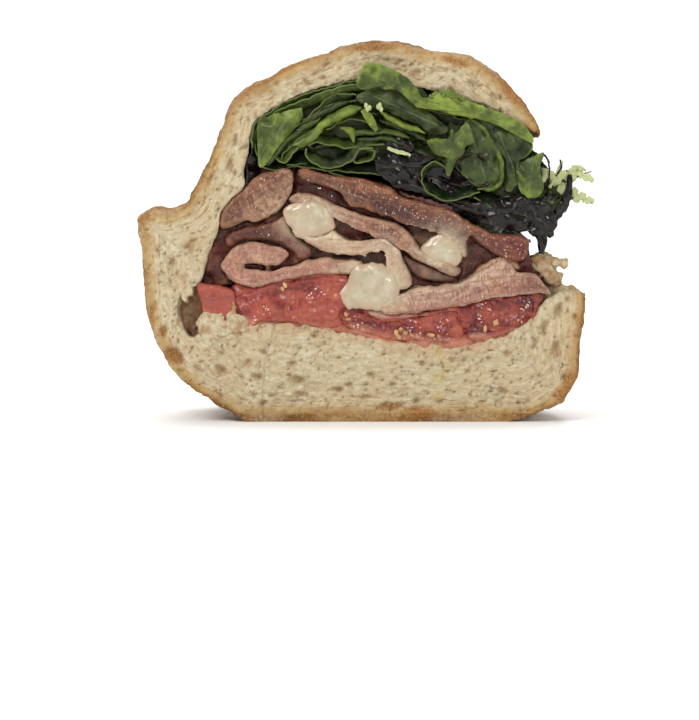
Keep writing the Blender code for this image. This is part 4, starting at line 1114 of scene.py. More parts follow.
def mayonnaise_finish(look):
    """Smooth and creamy, thinning to the colour of the meat at its rim."""
    f = Finish("mayonnaise", 0.25)
    colour = f.ramp(f.noise(2.6, 3.0, seed=2.0), [
        (0.3, (160, 146, 116)), (0.5, (178, 168, 140)), (0.7, (192, 184, 158))])
    smear = f.times(f.stored("rim"), f.ramp(f.noise(1.4, 3.0, seed=7.0), [(0.3, 0.55), (0.6, 1.0)]))
    colour = f.mix(smear, colour, (180, 152, 124))
    normal = f.bump(f.noise(2.8, 2.0, seed=4.0), 0.3, 0.4)
    return f.done(colour, normal, subsurface_weight=0.15, subsurface_scale=0.002,
                  coat_weight=look.gloss, coat_roughness=0.08)


def make_dollop(node, section, material):
    """One smear of mayonnaise: a low smooth dome that thins over its neighbours."""
    outline, front, back = section
    piece = solid_through(node.replace("mayonnaise", "dollop"), outline, front, back, DOLLOP_EDGE)
    even_faces(piece, 0.35)
    smooth = piece.modifiers.new("soft", "SMOOTH")
    smooth.factor, smooth.iterations = 0.6, 9
    apply_modifiers(piece)
    mesh = piece.data
    points, facing = places(mesh), outward(mesh)
    points += facing * (0.15 + soft_noise(points, 3.4, len(node)) * 0.4)[:, None]
    points[:, 0] += soft_noise(points * (0, 0, 1), 2.2, len(node) + 5, 2) * 0.8
    points[:, 2] += soft_noise(points * (1, 0, 0), 2.2, len(node) + 7, 2) * 0.8
    move_to(mesh, points)
    keep(mesh, rim=unit((points[:, 1] - front + 0.25) / 0.8))
    mesh.materials.append(material)
    settle(piece, node)


# Leaf edges at the cut as (x, z).
# A fold shows its rounded back, half its width given.
# A lip shows the face that falls away on the left of its run, by the width given, or on the right if below 0.
# Then the depth of the front, the reach back, and the tone from 0 dark to 1 pale.
FOLDS = [
    ([(-20.6, 57.9), (-18.7, 60.6), (-15.6, 63.7), (-12.0, 66.2), (-8.4, 68.4)], 0.65, -1.0, 8.0, 0.5),
    ([(-14.6, 62.2), (-10.5, 64.2), (-6.4, 67.8), (-2.3, 69.8), (0.7, 70.8)], 0.95, -1.4, 8.0, 0.72),
    ([(-17.4, 61.6), (-14.4, 64.8), (-10.8, 67.4), (-6.6, 70.2), (-2.0, 72.2)], 0.7, -0.2, 8.0, 0.28),
    ([(-2.3, 64.5), (0.2, 65.1), (4.3, 65.2), (7.4, 65.2), (11.5, 63.7)], 0.6, -1.0, 7.0, 0.5),
    ([(-0.3, 63.6), (5.8, 63.8), (10.4, 62.7)], 0.5, -0.8, 7.0, 0.36),
    ([(-3.9, 66.2), (-2.0, 65.6), (-1.2, 64.4), (-1.0, 62.9)], 0.8, -1.5, 6.0, 0.72),
    ([(5.1, 69.8), (8.4, 67.5), (11.5, 66.2), (15.0, 65.0)], 0.5, -1.2, 7.0, 0.8),
    ([(5.0, 68.0), (8.0, 66.4), (12.0, 65.2), (16.0, 63.0)], 0.7, 0.0, 7.0, 0.25),
    ([(25.0, 68.5), (28.8, 65.2), (31.4, 60.6), (32.3, 57.0), (31.9, 54.0), (29.9, 52.2),
      (26.8, 52.7)], 0.4, -1.7, 7.0, 0.62),
    ([(29.0, 67.0), (33.0, 64.0), (35.6, 60.0), (35.6, 55.0), (34.0, 51.8)], 0.8, 0.2, 9.0, 0.3),
    ([(12.4, 61.2), (15.0, 60.2), (17.2, 58.8)], 0.6, -0.2, 6.0, 0.3),
]
LIPS = [
    # A dark lip at the left wall: painted shade in the gap between the leaves and the crumb
    ([(-27.6, 49.8), (-25.2, 52.4), (-25.0, 57.0), (-23.8, 61.0), (-22.8, 64.6)], -3.4, 0.9, 14.0, 0.1),
    ([(-22.6, 66.6), (-17.7, 70.2), (-11.0, 73.0), (-3.9, 75.3), (0.4, 76.1),
      (4.6, 76.1)], -2.4, -1.0, 42.0, 0.5),
    ([(-24.0, 61.6), (-23.2, 66.8), (-17.8, 71.0), (-11.0, 73.9), (-3.4, 76.2),
      (4.0, 77.0)], -2.4, -0.5, 12.0, 0.3),
    ([(-21.6, 58.0), (-23.0, 61.0), (-23.2, 64.0), (-22.4, 67.0)], -1.6, -0.2, 10.0, 0.3),
    ([(-22.0, 57.6), (-19.0, 57.0), (-14.0, 57.6), (-9.0, 56.8), (-2.0, 55.2)], 2.4, 0.6, 10.0, 0.2),
    ([(-12.5, 67.8), (-7.4, 72.2), (-3.9, 73.9), (-0.3, 73.6)], -2.4, -0.4, 10.0, 0.3),
    ([(-14.5, 66.0), (-9.6, 69.3), (-5.0, 71.6), (0.0, 72.6)], -2.2, 0.2, 10.0, 0.22),
    ([(-18.9, 59.9), (-17.9, 58.6), (-16.1, 58.6), (-14.6, 60.6), (-12.5, 62.2),
      (-10.0, 63.4)], 1.8, -1.5, 8.0, 0.5),
    ([(-17.1, 59.3), (-15.4, 61.6), (-12.0, 64.2), (-9.5, 65.7), (-6.0, 67.2)], 1.6, -0.8, 8.0, 0.35),
    ([(-11.3, 62.2), (-9.0, 62.9), (-4.9, 61.9), (-1.8, 61.6), (2.3, 62.4),
      (5.8, 62.7)], 1.7, -1.2, 8.0, 0.42),
    ([(-11.5, 61.6), (-11.6, 59.6), (-10.0, 58.1), (-7.4, 57.3), (-3.9, 57.6), (-1.3, 59.1), (-0.3, 60.6),
      (0.7, 61.6), (3.3, 61.9)], 2.6, -1.4, 8.0, 0.34),
    ([(-1.3, 59.3), (-0.3, 58.1), (1.8, 58.3), (3.3, 59.3), (3.8, 60.9), (2.3, 61.6),
      (0.2, 61.4)], 1.2, -1.5, 6.0, 0.4),
    ([(-7.4, 65.7), (-3.9, 67.3), (-0.3, 67.8), (4.3, 66.2), (6.0, 65.8)], 1.8, -0.2, 8.0, 0.3),
    ([(-16.0, 57.8), (-12.0, 58.0), (-8.0, 56.6), (0.0, 56.0), (6.0, 55.2),
      (11.0, 53.4)], 2.6, 0.2, 10.0, 0.15),
    ([(14.3, 55.0), (14.5, 57.0), (16.1, 58.3), (18.1, 58.3), (19.6, 57.3)], -1.5, -1.6, 8.0, 0.3),
    ([(14.3, 55.0), (15.0, 52.5), (17.1, 50.9), (18.6, 50.2), (21.7, 49.9), (24.8, 50.9),
      (27.3, 51.9)], 2.0, -1.5, 8.0, 0.22),
    ([(6.6, 57.4), (9.4, 58.4), (11.8, 57.4), (14.0, 54.4), (17.0, 51.2)], -2.0, -0.6, 8.0, 0.12),
    ([(26.0, 50.6), (29.0, 48.8), (33.0, 47.4), (36.0, 45.8), (38.4, 43.2)], 2.2, -0.8, 9.0, 0.16),
    ([(13.0, 71.0), (18.0, 69.8), (24.0, 68.0), (29.0, 66.8)], -2.6, 0.0, 9.0, 0.22),
    ([(8.0, 60.8), (11.0, 60.0), (14.0, 58.0), (16.0, 55.0)], -1.8, 0.0, 7.0, 0.05),
]

# Leaves that face the camera: outline as (x, z), depth at the rim, bulge towards the camera, and tone
FACING_LEAVES = [
    ([(-22.5, 66.9), (-21.2, 68.2), (-17.1, 69.6), (-13.1, 70.6), (-12.5, 69.8), (-12.8, 68.0),
      (-15.1, 65.2), (-17.7, 62.2), (-19.2, 60.1), (-21.2, 57.6), (-22.3, 58.1),
      (-22.4, 62.2)], -1.0, 1.4, 0.68),
    ([(-0.4, 76.2), (0.4, 78.6), (1.6, 80.6), (3.4, 80.8), (5.6, 80.2), (8.4, 78.8), (11.0, 77.4),
      (12.9, 75.2), (14.2, 73.0), (15.6, 71.6), (12.8, 71.4), (11.0, 73.4), (8.6, 74.8), (5.6, 75.0),
      (4.4, 76.8), (2.6, 76.6), (1.6, 74.9), (0.2, 75.0)],
     -3.2, 1.0, 0.6),
    ([(-0.3, 72.9), (2.3, 74.6), (6.4, 75.2), (10.4, 73.8), (14.5, 70.5), (18.6, 67.3), (20.2, 65.2),
      (16.6, 64.9), (13.5, 66.9), (11.5, 67.9), (8.4, 69.0), (5.8, 70.3), (2.3, 71.1)], -1.1, 1.8, 0.4),
    ([(15.6, 63.4), (18.1, 63.7), (20.2, 63.9), (20.9, 65.7), (21.7, 64.7), (24.2, 67.3), (25.0, 65.7),
      (26.0, 63.2), (24.2, 62.2), (23.2, 60.1), (21.9, 59.1), (21.2, 57.3), (20.3, 55.5), (19.6, 56.8),
      (20.0, 59.6), (18.1, 60.1), (16.6, 61.1)],
     -2.9, 0.9, 0.62),
    ([(13.8, 72.6), (16.6, 73.0), (18.4, 73.9), (19.6, 73.0), (21.4, 73.8), (23.2, 73.2), (25.3, 71.9),
      (29.9, 70.3), (33.4, 68.8), (37.0, 66.8), (39.1, 64.2), (38.6, 63.0), (34.0, 66.0), (28.8, 67.7),
      (24.8, 68.5), (21.7, 69.2), (16.6, 70.4), (12.6, 71.1)], -1.5, 1.0, 0.82),
    ([(24.2, 67.8), (26.8, 66.8), (29.9, 63.2), (31.9, 58.6), (32.2, 55.0), (30.1, 52.5), (26.8, 53.0),
      (23.7, 55.5), (21.7, 58.1), (23.2, 60.1), (24.8, 62.2), (23.7, 65.2)], -0.5, 0.8, 0.42),
    ([(23.4, 59.9), (26.8, 60.4), (29.4, 58.1), (30.4, 55.0), (28.8, 53.2), (25.8, 54.0), (22.7, 56.5),
      (21.9, 58.1)],
     -1.0, -2.4, 0.1),
    ([(26.8, 68.0), (31.9, 66.5), (37.0, 64.7), (39.1, 62.7), (38.3, 60.1), (35.2, 58.1), (35.6, 54.0),
      (33.4, 51.9), (32.5, 57.0), (30.0, 63.2)], 0.0, 1.2, 0.36),
    ([(6.4, 64.4), (9.6, 63.9), (12.6, 62.3), (11.4, 60.8), (8.0, 61.4), (6.6, 62.6)], -0.9, 0.6, 0.02),
    ([(3.6, 58.6), (6.4, 60.4), (10.4, 60.8), (14.6, 60.4), (17.6, 58.8), (15.2, 56.2), (13.6, 53.6),
      (9.4, 53.4), (5.6, 54.8)],
     -0.2, 1.0, 0.0),
    ([(6.9, 57.0), (11.5, 56.5), (13.8, 54.0), (16.4, 51.4), (11.5, 52.1), (7.4, 53.5)], -0.9, 0.8, 0.06),
    # Its dark tone paints the shade inside the curled leaf
    ([(15.2, 55.6), (16.8, 57.4), (20.2, 57.2), (24.4, 54.8), (26.0, 52.4), (21.0, 50.4),
      (17.4, 51.4)], 0.6, -1.4, 0.0),
    ([(35.5, 57.0), (37.4, 58.8), (39.1, 59.6), (41.6, 60.6), (40.6, 57.0), (41.6, 53.0), (39.8, 50.4),
      (36.5, 51.9)], -0.4, 1.0, 0.6),
    ([(19.4, 51.0), (24.0, 50.4), (30.0, 49.0), (34.0, 46.6), (32.0, 44.6), (26.0, 47.0),
      (20.6, 49.2)], 0.0, 1.0, 0.12),
    ([(28.6, 47.8), (31.6, 50.4), (35.4, 51.2), (38.4, 49.6), (39.4, 46.2), (37.8, 43.2), (33.8, 43.2),
      (30.0, 44.8)], -0.4, 1.4, 0.0),
    ([(36.4, 47.6), (37.4, 49.9), (39.4, 50.6), (41.4, 50.0), (43.6, 47.4), (44.6, 44.0), (42.4, 42.2),
      (39.6, 42.4), (37.6, 44.4)],
     -0.6, 1.0, -0.2),
]

# Long free leaves and stems: midrib as (x, depth, z), half width, tone, teeth, and ruffle
BLADES = [
    ([(1.0, -2.0, 70.2), (2.2, -2.5, 68.8), (3.2, -2.6, 67.2), (4.2, -2.2, 65.6)], 0.9, 0.75, 0.0, 0.2),
    ([(6.6, -1.4, 61.7), (8.6, -1.8, 60.9), (10.8, -1.8, 60.4), (11.8, -1.6, 60.0)], 0.4, 1.15, 0.0, 0.1),
    ([(36.0, 3.0, 56.0), (41.5, 3.0, 55.4), (46.0, 3.4, 55.0), (50.0, 3.8, 55.6),
      (53.0, 4.0, 54.0)], 1.6, 1.1, 0.75, 0.8),
    ([(44.0, 3.6, 54.6), (46.4, 3.8, 52.4), (49.6, 4.0, 50.6), (53.2, 4.4, 49.4)], 1.5, 1.1, 0.75, 0.8),
    ([(43.0, 3.0, 52.6), (44.4, 3.2, 54.6), (45.2, 3.4, 56.6), (46.0, 3.6, 58.6)], 0.5, 1.05, 0.5, 0.3),
    ([(47.0, 3.4, 55.4), (49.0, 3.4, 57.2), (51.4, 3.6, 56.4)], 0.6, 1.1, 0.7, 0.5),
    ([(39.2, 1.4, 58.0), (41.2, 1.0, 60.2), (42.8, 1.2, 58.4), (43.0, 1.4, 54.4)], 0.16, 0.0, 0.0, 0.0),
    ([(44.4, 1.4, 55.2), (45.6, 1.4, 57.0), (45.4, 1.5, 59.0)], 0.15, 0.0, 0.0, 0.0),
    ([(40.6, 1.6, 44.6), (44.0, 1.2, 46.0), (46.4, 1.2, 49.0), (47.4, 1.2, 52.4),
      (47.6, 1.2, 55.6)], 1.1, -0.35, 0.2, 0.4),
    ([(39.6, 2.2, 47.0), (42.0, 1.8, 50.0), (43.4, 1.8, 52.0)], 0.8, -0.35, 0.2, 0.4),
    ([(36.6, 1.6, 47.6), (39.6, 0.8, 46.0), (42.4, 0.8, 43.4), (43.6, 1.4, 41.6)], 1.8, -0.3, 0.2, 0.5),
    ([(38.6, 2.0, 46.6), (40.6, 1.2, 43.6), (41.4, 1.0, 40.8), (41.2, 1.2, 37.8)], 1.3, -0.35, 0.0, 0.3),
    ([(38.4, -0.2, 52.8), (39.8, -0.2, 50.4), (39.8, 0.0, 47.6)], 1.3, 0.5, 0.4, 0.5),
    ([(16.0, -1.8, 73.0), (18.6, -2.2, 73.9), (21.4, -2.2, 73.6), (24.0, -2.0, 72.4)], 0.9, 0.72, 0.6, 0.6),
]
BUDS = [(1.7, 71.2), (2.5, 70.7), (4.4, 70.9), (5.1, 70.4), (4.8, 71.3), (2.0, 70.4)]
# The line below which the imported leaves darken, as (x, z)
HEART_EDGE = [(-20.0, 56.0), (0.0, 57.0), (6.0, 62.0), (14.0, 60.0), (22.0, 54.0), (30.0, 50.0),
              (45.0, 46.0)]


def between(dark, light):
    """A leaf's middle colour, nearer its dark one."""
    return tuple(a + (b - a) * 0.42 for a, b in zip(dark, light))


def leaf_finish(name, dark, light, rim, gloss, look):
    """A leaf's waxy green: its own tone, paler veins and a slightly paler edge, partly the margin's own
    colour and partly a painted highlight.
    """
    f = Finish(name, 0.4)
    shade, edge, vein = f.stored("shade"), f.stored("edge"), f.stored("vein")
    cloud = f.noise(3.5, 4.0, seed=2.0)
    value = f.plus(shade, f.swing(cloud, 0.3))
    value = f.plus(value, f.swing(f.noise(0.9, 3.0, seed=11.0), 0.16))
    value = f.math("SUBTRACT", value, f.ramp(f.cells(1.5, 3.0), [(0.3, 0.0), (0.75, 0.12)]))
    colour = f.ramp(value, [(0.0, dark), (0.5, between(dark, light)), (1.0, light)])
    colour = f.over(colour, vein, [(0.35, 0.0), (0.9, 0.28)], rim)
    # The paler edge: partly the margin's own colour, partly a painted highlight where edges catch the light
    colour = f.over(colour, edge, [(0.4, 0.0), (0.95, 0.28)], rim)
    colour = f.tinted(colour, look.leaf_tint)
    blisters = f.times(f.cells(1.5, 3.0), -0.8)
    normal = f.bump(f.plus(f.plus(f.noise(0.8, 3.0, seed=5.0), blisters), f.times(vein, 0.6)), 0.35, 0.7)
    rough = f.ramp(f.noise(2.0, 2.0, seed=8.0), [(0.4, gloss), (0.65, gloss + 0.3)])
    shine, coat = (0.1, 0.45) if gloss < 0.25 else (0.25, 0.15)
    return f.done(colour, normal, rough, specular_ior_level=shine, coat_weight=coat, coat_roughness=0.04)


class Leaves:
    """Thin leaves gathered into one mesh, with each point's tone, edge and vein."""

    def __init__(self):
        self.bm = bmesh.new()
        self.layers = [self.bm.verts.layers.float.new(name) for name in ("shade", "edge", "vein")]

    def sheet(self, points, shade, edge, vein):
        """Adds one sheet: a grid, whose rows and columns are set to the given places."""
        rows, columns = points.shape[:2]
        grid = bmesh.ops.create_grid(self.bm, x_segments=columns - 1, y_segments=rows - 1, size=1.0)
        spread = [np.broadcast_to(values, (rows, columns)).ravel() for values in (shade, edge, vein)]
        for vert, place, *kept in zip(grid["verts"], in_frame(points.reshape(-1, 3)), *spread):
            vert.co = place
            for layer, value in zip(self.layers, kept):
                vert[layer] = value

    def piece(self, name, thickness):
        """The gathered leaves as one object, its sheets given a thickness in millimetres."""
        bmesh.ops.recalc_face_normals(self.bm, faces=self.bm.faces)
        made = piece_of(name, self.bm)
        wall = made.modifiers.new("thickness", "SOLIDIFY")
        wall.thickness = thickness * MM
        wall.offset = 0.0
        apply_modifiers(made)
        return made


def line_noise(along, second, third, size, seed, octaves=1):
    """Soft noise along a line that lies at the given second and third numbers."""
    return soft_noise(np.column_stack(np.broadcast_arrays(along, second, third)), size, seed, octaves)


def edge_leaf(leaves, edge_line, profile, shade, rim, seed):
    """A leaf along a line at the cut; its profile gives the offset from the line, and the depth."""
    run = np.array(edge_line)
    length = np.linalg.norm(np.diff(run, axis=0), axis=1).sum()
    line = evenly(edge_line, max(16, round(length / 0.42)))
    heading = np.gradient(line, axis=0)
    heading /= np.linalg.norm(heading, axis=1)[:, None]
    side = np.stack([-heading[:, 1], heading[:, 0]], axis=1)
    along = np.linspace(0.0, length, len(line))
    taper = np.clip(np.minimum(along, length - along) / 2.0, 0.15, 1.0)
    flutter = line_noise(along, seed * 7.3, 0.0, 2.4, seed, 2)
    slow = line_noise(along, 0.0, seed * 5.1, 6.0, seed + 3)
    quiver = line_noise(along, seed * 2.3, 0.0, 0.9, seed + 5)
    grid = np.zeros((len(profile), len(line), 3))
    for i, (offset, depth) in enumerate(profile):
        fade = math.exp(-max(depth - profile[0][1], 0.0) / 4.0)
        flat = line + side * (offset * (taper + 0.35 * slow))[:, None]
        flat += side * ((flutter * 0.5 + quiver * 0.2) * fade)[:, None]
        ring = np.column_stack([flat[:, 0], depth + slow * 0.9 + flutter * 0.3, flat[:, 1]])
        deep = unit(depth / 6.0)
        ring[:, 2] += soft_noise(ring + seed * 9.0, 6.0, seed) * 1.4 * deep
        ring[:, 0] += soft_noise(ring + seed * 9.0, 5.0, seed + 7) * 1.0 * deep
        ring[:, 1] = np.maximum(ring[:, 1], EDGE_LEAF_FRONT)
        grid[i] = in_pocket(ring)
    away = np.array([depth for _, depth in profile])[:, None] - profile[0][1]
    vein = unit(line_noise(along, 0.0, 0.0, 0.8, seed + 9) * 2 - 0.7)
    # Painted shade: darker the further a leaf runs back from the cut
    tones = shade - 0.11 * np.clip(away, 0.0, 5.0) + 0.16 * flutter[None, :]
    leaves.sheet(grid, tones, rim[:, None], vein[None, :] * 0.6)


def fold_leaf(leaves, edge_line, half, front, reach, shade, seed):
    """A leaf folded towards the cut: both its sides run back."""
    side = [(1.1, reach), (1.05, 3.0), (1.0, 1.5), (0.86, 0.7), (0.5, 0.18)]
    profile = [(-half * share, depth) for share, depth in side] + [(0.0, 0.0)]
    profile += [(half * share, depth) for share, depth in reversed(side)]
    # A painted highlight on the front of the fold, where its rounded back faces the light
    rim = np.array([0.35 * math.exp(-depth * 2.0) for _, depth in profile])
    edge_leaf(leaves, edge_line, [(offset, front + depth) for offset, depth in profile], shade, rim, seed)


def lip_leaf(leaves, edge_line, lean, front, reach, shade, seed):
    """A leaf whose margin shows at the cut, with the face beside it falling back."""
    further = [(1.05, step) for step in np.arange(7.0, reach, 2.0)]
    profile = [(share * lean, front + depth) for share, depth in LIP_FALL + further]
    # The margin at the front is paler: partly its own colour, partly a painted highlight
    rim = np.array([math.exp(-(depth - front) * 6.0) for _, depth in profile])
    edge_leaf(leaves, edge_line, profile, shade, rim, seed)


def facing_leaf(leaves, outline, depth, bulge, shade, seed):
    """A leaf whose face shows: rings drawn in from its outline, folded along its midrib and crumpled."""
    ring = evenly(outline, max(60, len(outline) * 8), True)
    centre = ring.mean(axis=0)
    frill = soft_noise(np.column_stack([ring, np.full(len(ring), seed)]), 0.9, seed + 6, 2)
    ring += (ring - centre) / np.linalg.norm(ring - centre, axis=1)[:, None] * frill[:, None] * 0.4
    long_side = np.linalg.svd(ring - centre, full_matrices=False)[2][0]
    cross_side = np.array([-long_side[1], long_side[0]])
    shares = np.concatenate([[1.0, 0.97, 0.92, 0.85], np.linspace(0.76, 0.02, 10)])
    ring = np.vstack([ring, ring[:1]])
    shape = (len(shares), len(ring))
    grid, vein, tones = np.zeros((*shape, 3)), np.zeros(shape), np.zeros(shape)
    width = np.abs((ring - centre) @ cross_side).max()
    for i, share in enumerate(shares):
        flat = centre + (ring - centre) * share
        spot = np.column_stack([flat[:, 0], np.zeros(len(flat)), flat[:, 1]])
        along, across = (flat - centre) @ long_side, (flat - centre) @ cross_side
        crumple = soft_noise(spot, 3.6, seed, 2) * 1.3 + soft_noise(spot, 1.3, seed + 2) * 0.4
        crease = 0.5 * np.exp(-((across / 0.5) ** 2)) * (1 - share)
        away = depth - bulge * (1 - share**2) + crumple * (0.5 + 0.5 * share) + crease
        away += 0.5 * np.sin(along * 1.6 + np.abs(across) * 0.9 + seed) * unit(np.abs(across) / width)
        grid[i] = np.column_stack([flat[:, 0], np.maximum(away, FACE_LEAF_FRONT), flat[:, 1]])
        veins = unit(np.sin(along * 2.2 - np.abs(across) * 1.6 + seed) * 4 - 3.1)
        vein[i] = np.maximum(np.exp(-((across / 0.22) ** 2)) * (share < 0.8), veins * 0.6 * (share < 0.9))
        # Painted shade: darker where the crumple sinks back and towards the middle, paler towards the raised
        # rim
        tones[i] = shade - 0.2 * crumple - 0.16 * (1 - share)
    # The outer rings are paler: partly the margin, partly a painted highlight on the curled rim
    edge = unit((shares - 0.9) / 0.1)[:, None]
    leaves.sheet(grid, tones, edge, vein)


def blade_leaf(leaves, midrib, half_width, shade, teeth, ruffle, seed, facing=(0.0, -1.0, 0.0)):
    """A free leaf about its midrib, its margin toothed and ruffled."""
    count = 54
    rib = evenly(midrib, count)
    heading = np.gradient(rib, axis=0)
    side = np.cross(heading, facing)
    side /= np.linalg.norm(side, axis=1)[:, None] + 1e-9
    share = np.linspace(0, 1, count)
    spread = np.linspace(-1, 1, 13)
    body = 0.2 + 0.8 * np.sin(np.pi * unit(0.1 + 0.88 * share)) ** 0.8
    wave = line_noise(share * 12, seed * 3.1, 0.0, 1.0, seed)
    grid = np.zeros((count, len(spread), 3))
    for j, across in enumerate(spread):
        bite = np.sin(share * 31 + seed + (across > 0) * 1.7) + 0.7 * np.sin(share * 67 + seed * 2)
        bite = 1 - teeth * unit(bite)
        lift = ruffle * abs(across) ** 2 * np.sin(share * 22 + seed + across * 1.5) + 0.3 * wave * across
        grid[:, j] = rib + side * (across * half_width * body * bite)[:, None]
        grid[:, j] += np.array(facing) * (lift * body - 0.25 * half_width * across**2)[:, None]
    # The margins are paler: partly their own colour, partly a painted highlight
    edge = unit((np.abs(spread) - 0.8) / 0.2)[None, :]
    vein = unit(1 - np.abs(spread) / 0.12)[None, :] * np.ones((count, 1))
    side_veins = unit(np.sin(share[:, None] * 60 - np.abs(spread)[None, :] * 6) * 5 - 4) * 0.7
    leaves.sheet(grid, shade + 0.1 * wave[:, None], edge * 0.8, np.maximum(vein, side_veins))


def make_heart(green, look):
    """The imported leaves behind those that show."""
    heart = fine_copy("salad", "salad_heart", 0.7)
    mesh = heart.data
    points, facing = places(mesh), outward(mesh)
    ruffle = 0.9 - 2.2 * np.abs(soft_noise(points * (1.0, 0.35, 1.0), 3.6, 71, 2))
    points += facing * (ruffle * 0.7 - 0.9)[:, None]
    points[:, 1] += np.clip(1.8 - points[:, 1], 0.0, 6.0) * 0.8
    move_to(mesh, points)
    section = at_cut(points)
    low_edge = np.interp(section[:, 0], *zip(*HEART_EDGE))
    lower = unit((low_edge - section[:, 1]) / 4.0) * (points[:, 1] < 16.0)
    # Lighter where the ruffles stand out and darker in their hollows, as painted shade; darker again below
    # the heart's edge
    keep(mesh, shade=unit(0.26 + 0.14 * ruffle + 0.1 * soft_noise(points, 5.0, 73) - 0.3 * lower))
    mesh.materials.append(green)
    settle(heart, "salad")


def make_salad(look):
    """The heap of leaves: a dark heart, folded ones at the cut, and free ones at the side and end."""
    green = leaf_finish("leaf_green", (12, 23, 7), (142, 160, 62), (142, 156, 80), 0.3, look)
    black = leaf_finish("leaf_black", (15, 7, 6), (104, 78, 50), (84, 76, 46), 0.08, look)
    pale = leaf_finish("leaf_pale", (120, 134, 66), (190, 196, 140), (206, 210, 164), 0.35, look)
    groups = {"green": (Leaves(), green), "black": (Leaves(), black), "pale": (Leaves(), pale)}

    def group_for(shade):
        return groups["black" if shade < 0.13 else "pale" if shade > 1.0 else "green"][0]

    make_heart(green, look)
    for seed, (edge_line, half, front, reach, shade) in enumerate(FOLDS):
        fold_leaf(group_for(shade), edge_line, half, front, reach, shade, seed)
    for seed, (edge_line, lean, front, reach, shade) in enumerate(LIPS):
        lip_leaf(group_for(shade), edge_line, lean, front, reach, shade, seed + 20)
    for seed, (outline, depth, bulge, shade) in enumerate(FACING_LEAVES):
        facing_leaf(group_for(shade), outline, depth, bulge, shade, seed + 40)
    for seed, (midrib, half_width, shade, teeth, ruffle) in enumerate(BLADES):
        blade_leaf(group_for(shade), midrib, half_width, shade, teeth, ruffle, seed + 80)
    for seed, (x, z) in enumerate(BUDS):
        midrib = [(x, -2.6, z - 0.5), (x + 0.1, -2.9, z), (x, -2.7, z + 0.5)]
        blade_leaf(groups["pale"][0], midrib, 0.35, 1.1, 0.0, 0.1, seed + 100)
    draw = random.Random(look.seed)
    for i in range(look.side_leaves):
        depth = 9.0 + 41.0 * i / look.side_leaves + draw.uniform(-1.5, 1.5)
        rise = draw.uniform(-3.5, 4.5)
        points = in_pocket([(32.0, depth, 57.0 + rise), (38.0, depth + 1.0, 57.5 + rise),
                            (43.5, depth + draw.uniform(-2, 2), 55.0 + rise * 0.6),
                            (47.5, depth + draw.uniform(-3, 3), 51.0 + rise * 0.8)])
        shade = draw.choice((0.35, 0.5, 0.65, 0.2, -0.2, 1.05))
        tilt = (draw.uniform(-0.5, 0.1), draw.uniform(-0.5, 0.5), 0.9)
        blade_leaf(group_for(shade), points, draw.uniform(3.0, 5.0), shade, 0.35, 0.8, i + 120, tilt)
    for i in range(look.end_leaves):
        x = -12.0 + 38.0 * i / look.end_leaves + draw.uniform(-2, 2)
        points = in_pocket([(x, 44.0, 64.0), (x + 1.0, 50.0, 62.0), (x, 55.0, 60.0),
                            (x + draw.uniform(-2, 2), 60.5, 56.0)])
        shade = draw.choice((0.35, 0.5, 0.65, 0.2, -0.2))
        width = draw.uniform(3.0, 4.4)
        blade_leaf(group_for(shade), points, width, shade, 0.35, 0.7, i + 160, (0.1, 0.3, 0.94))
    for name, (leaves, material) in groups.items():
        piece = leaves.piece(f"leaves_{name}", look.leaf_thickness)
        piece.data.materials.append(material)
        settle(piece, "salad")


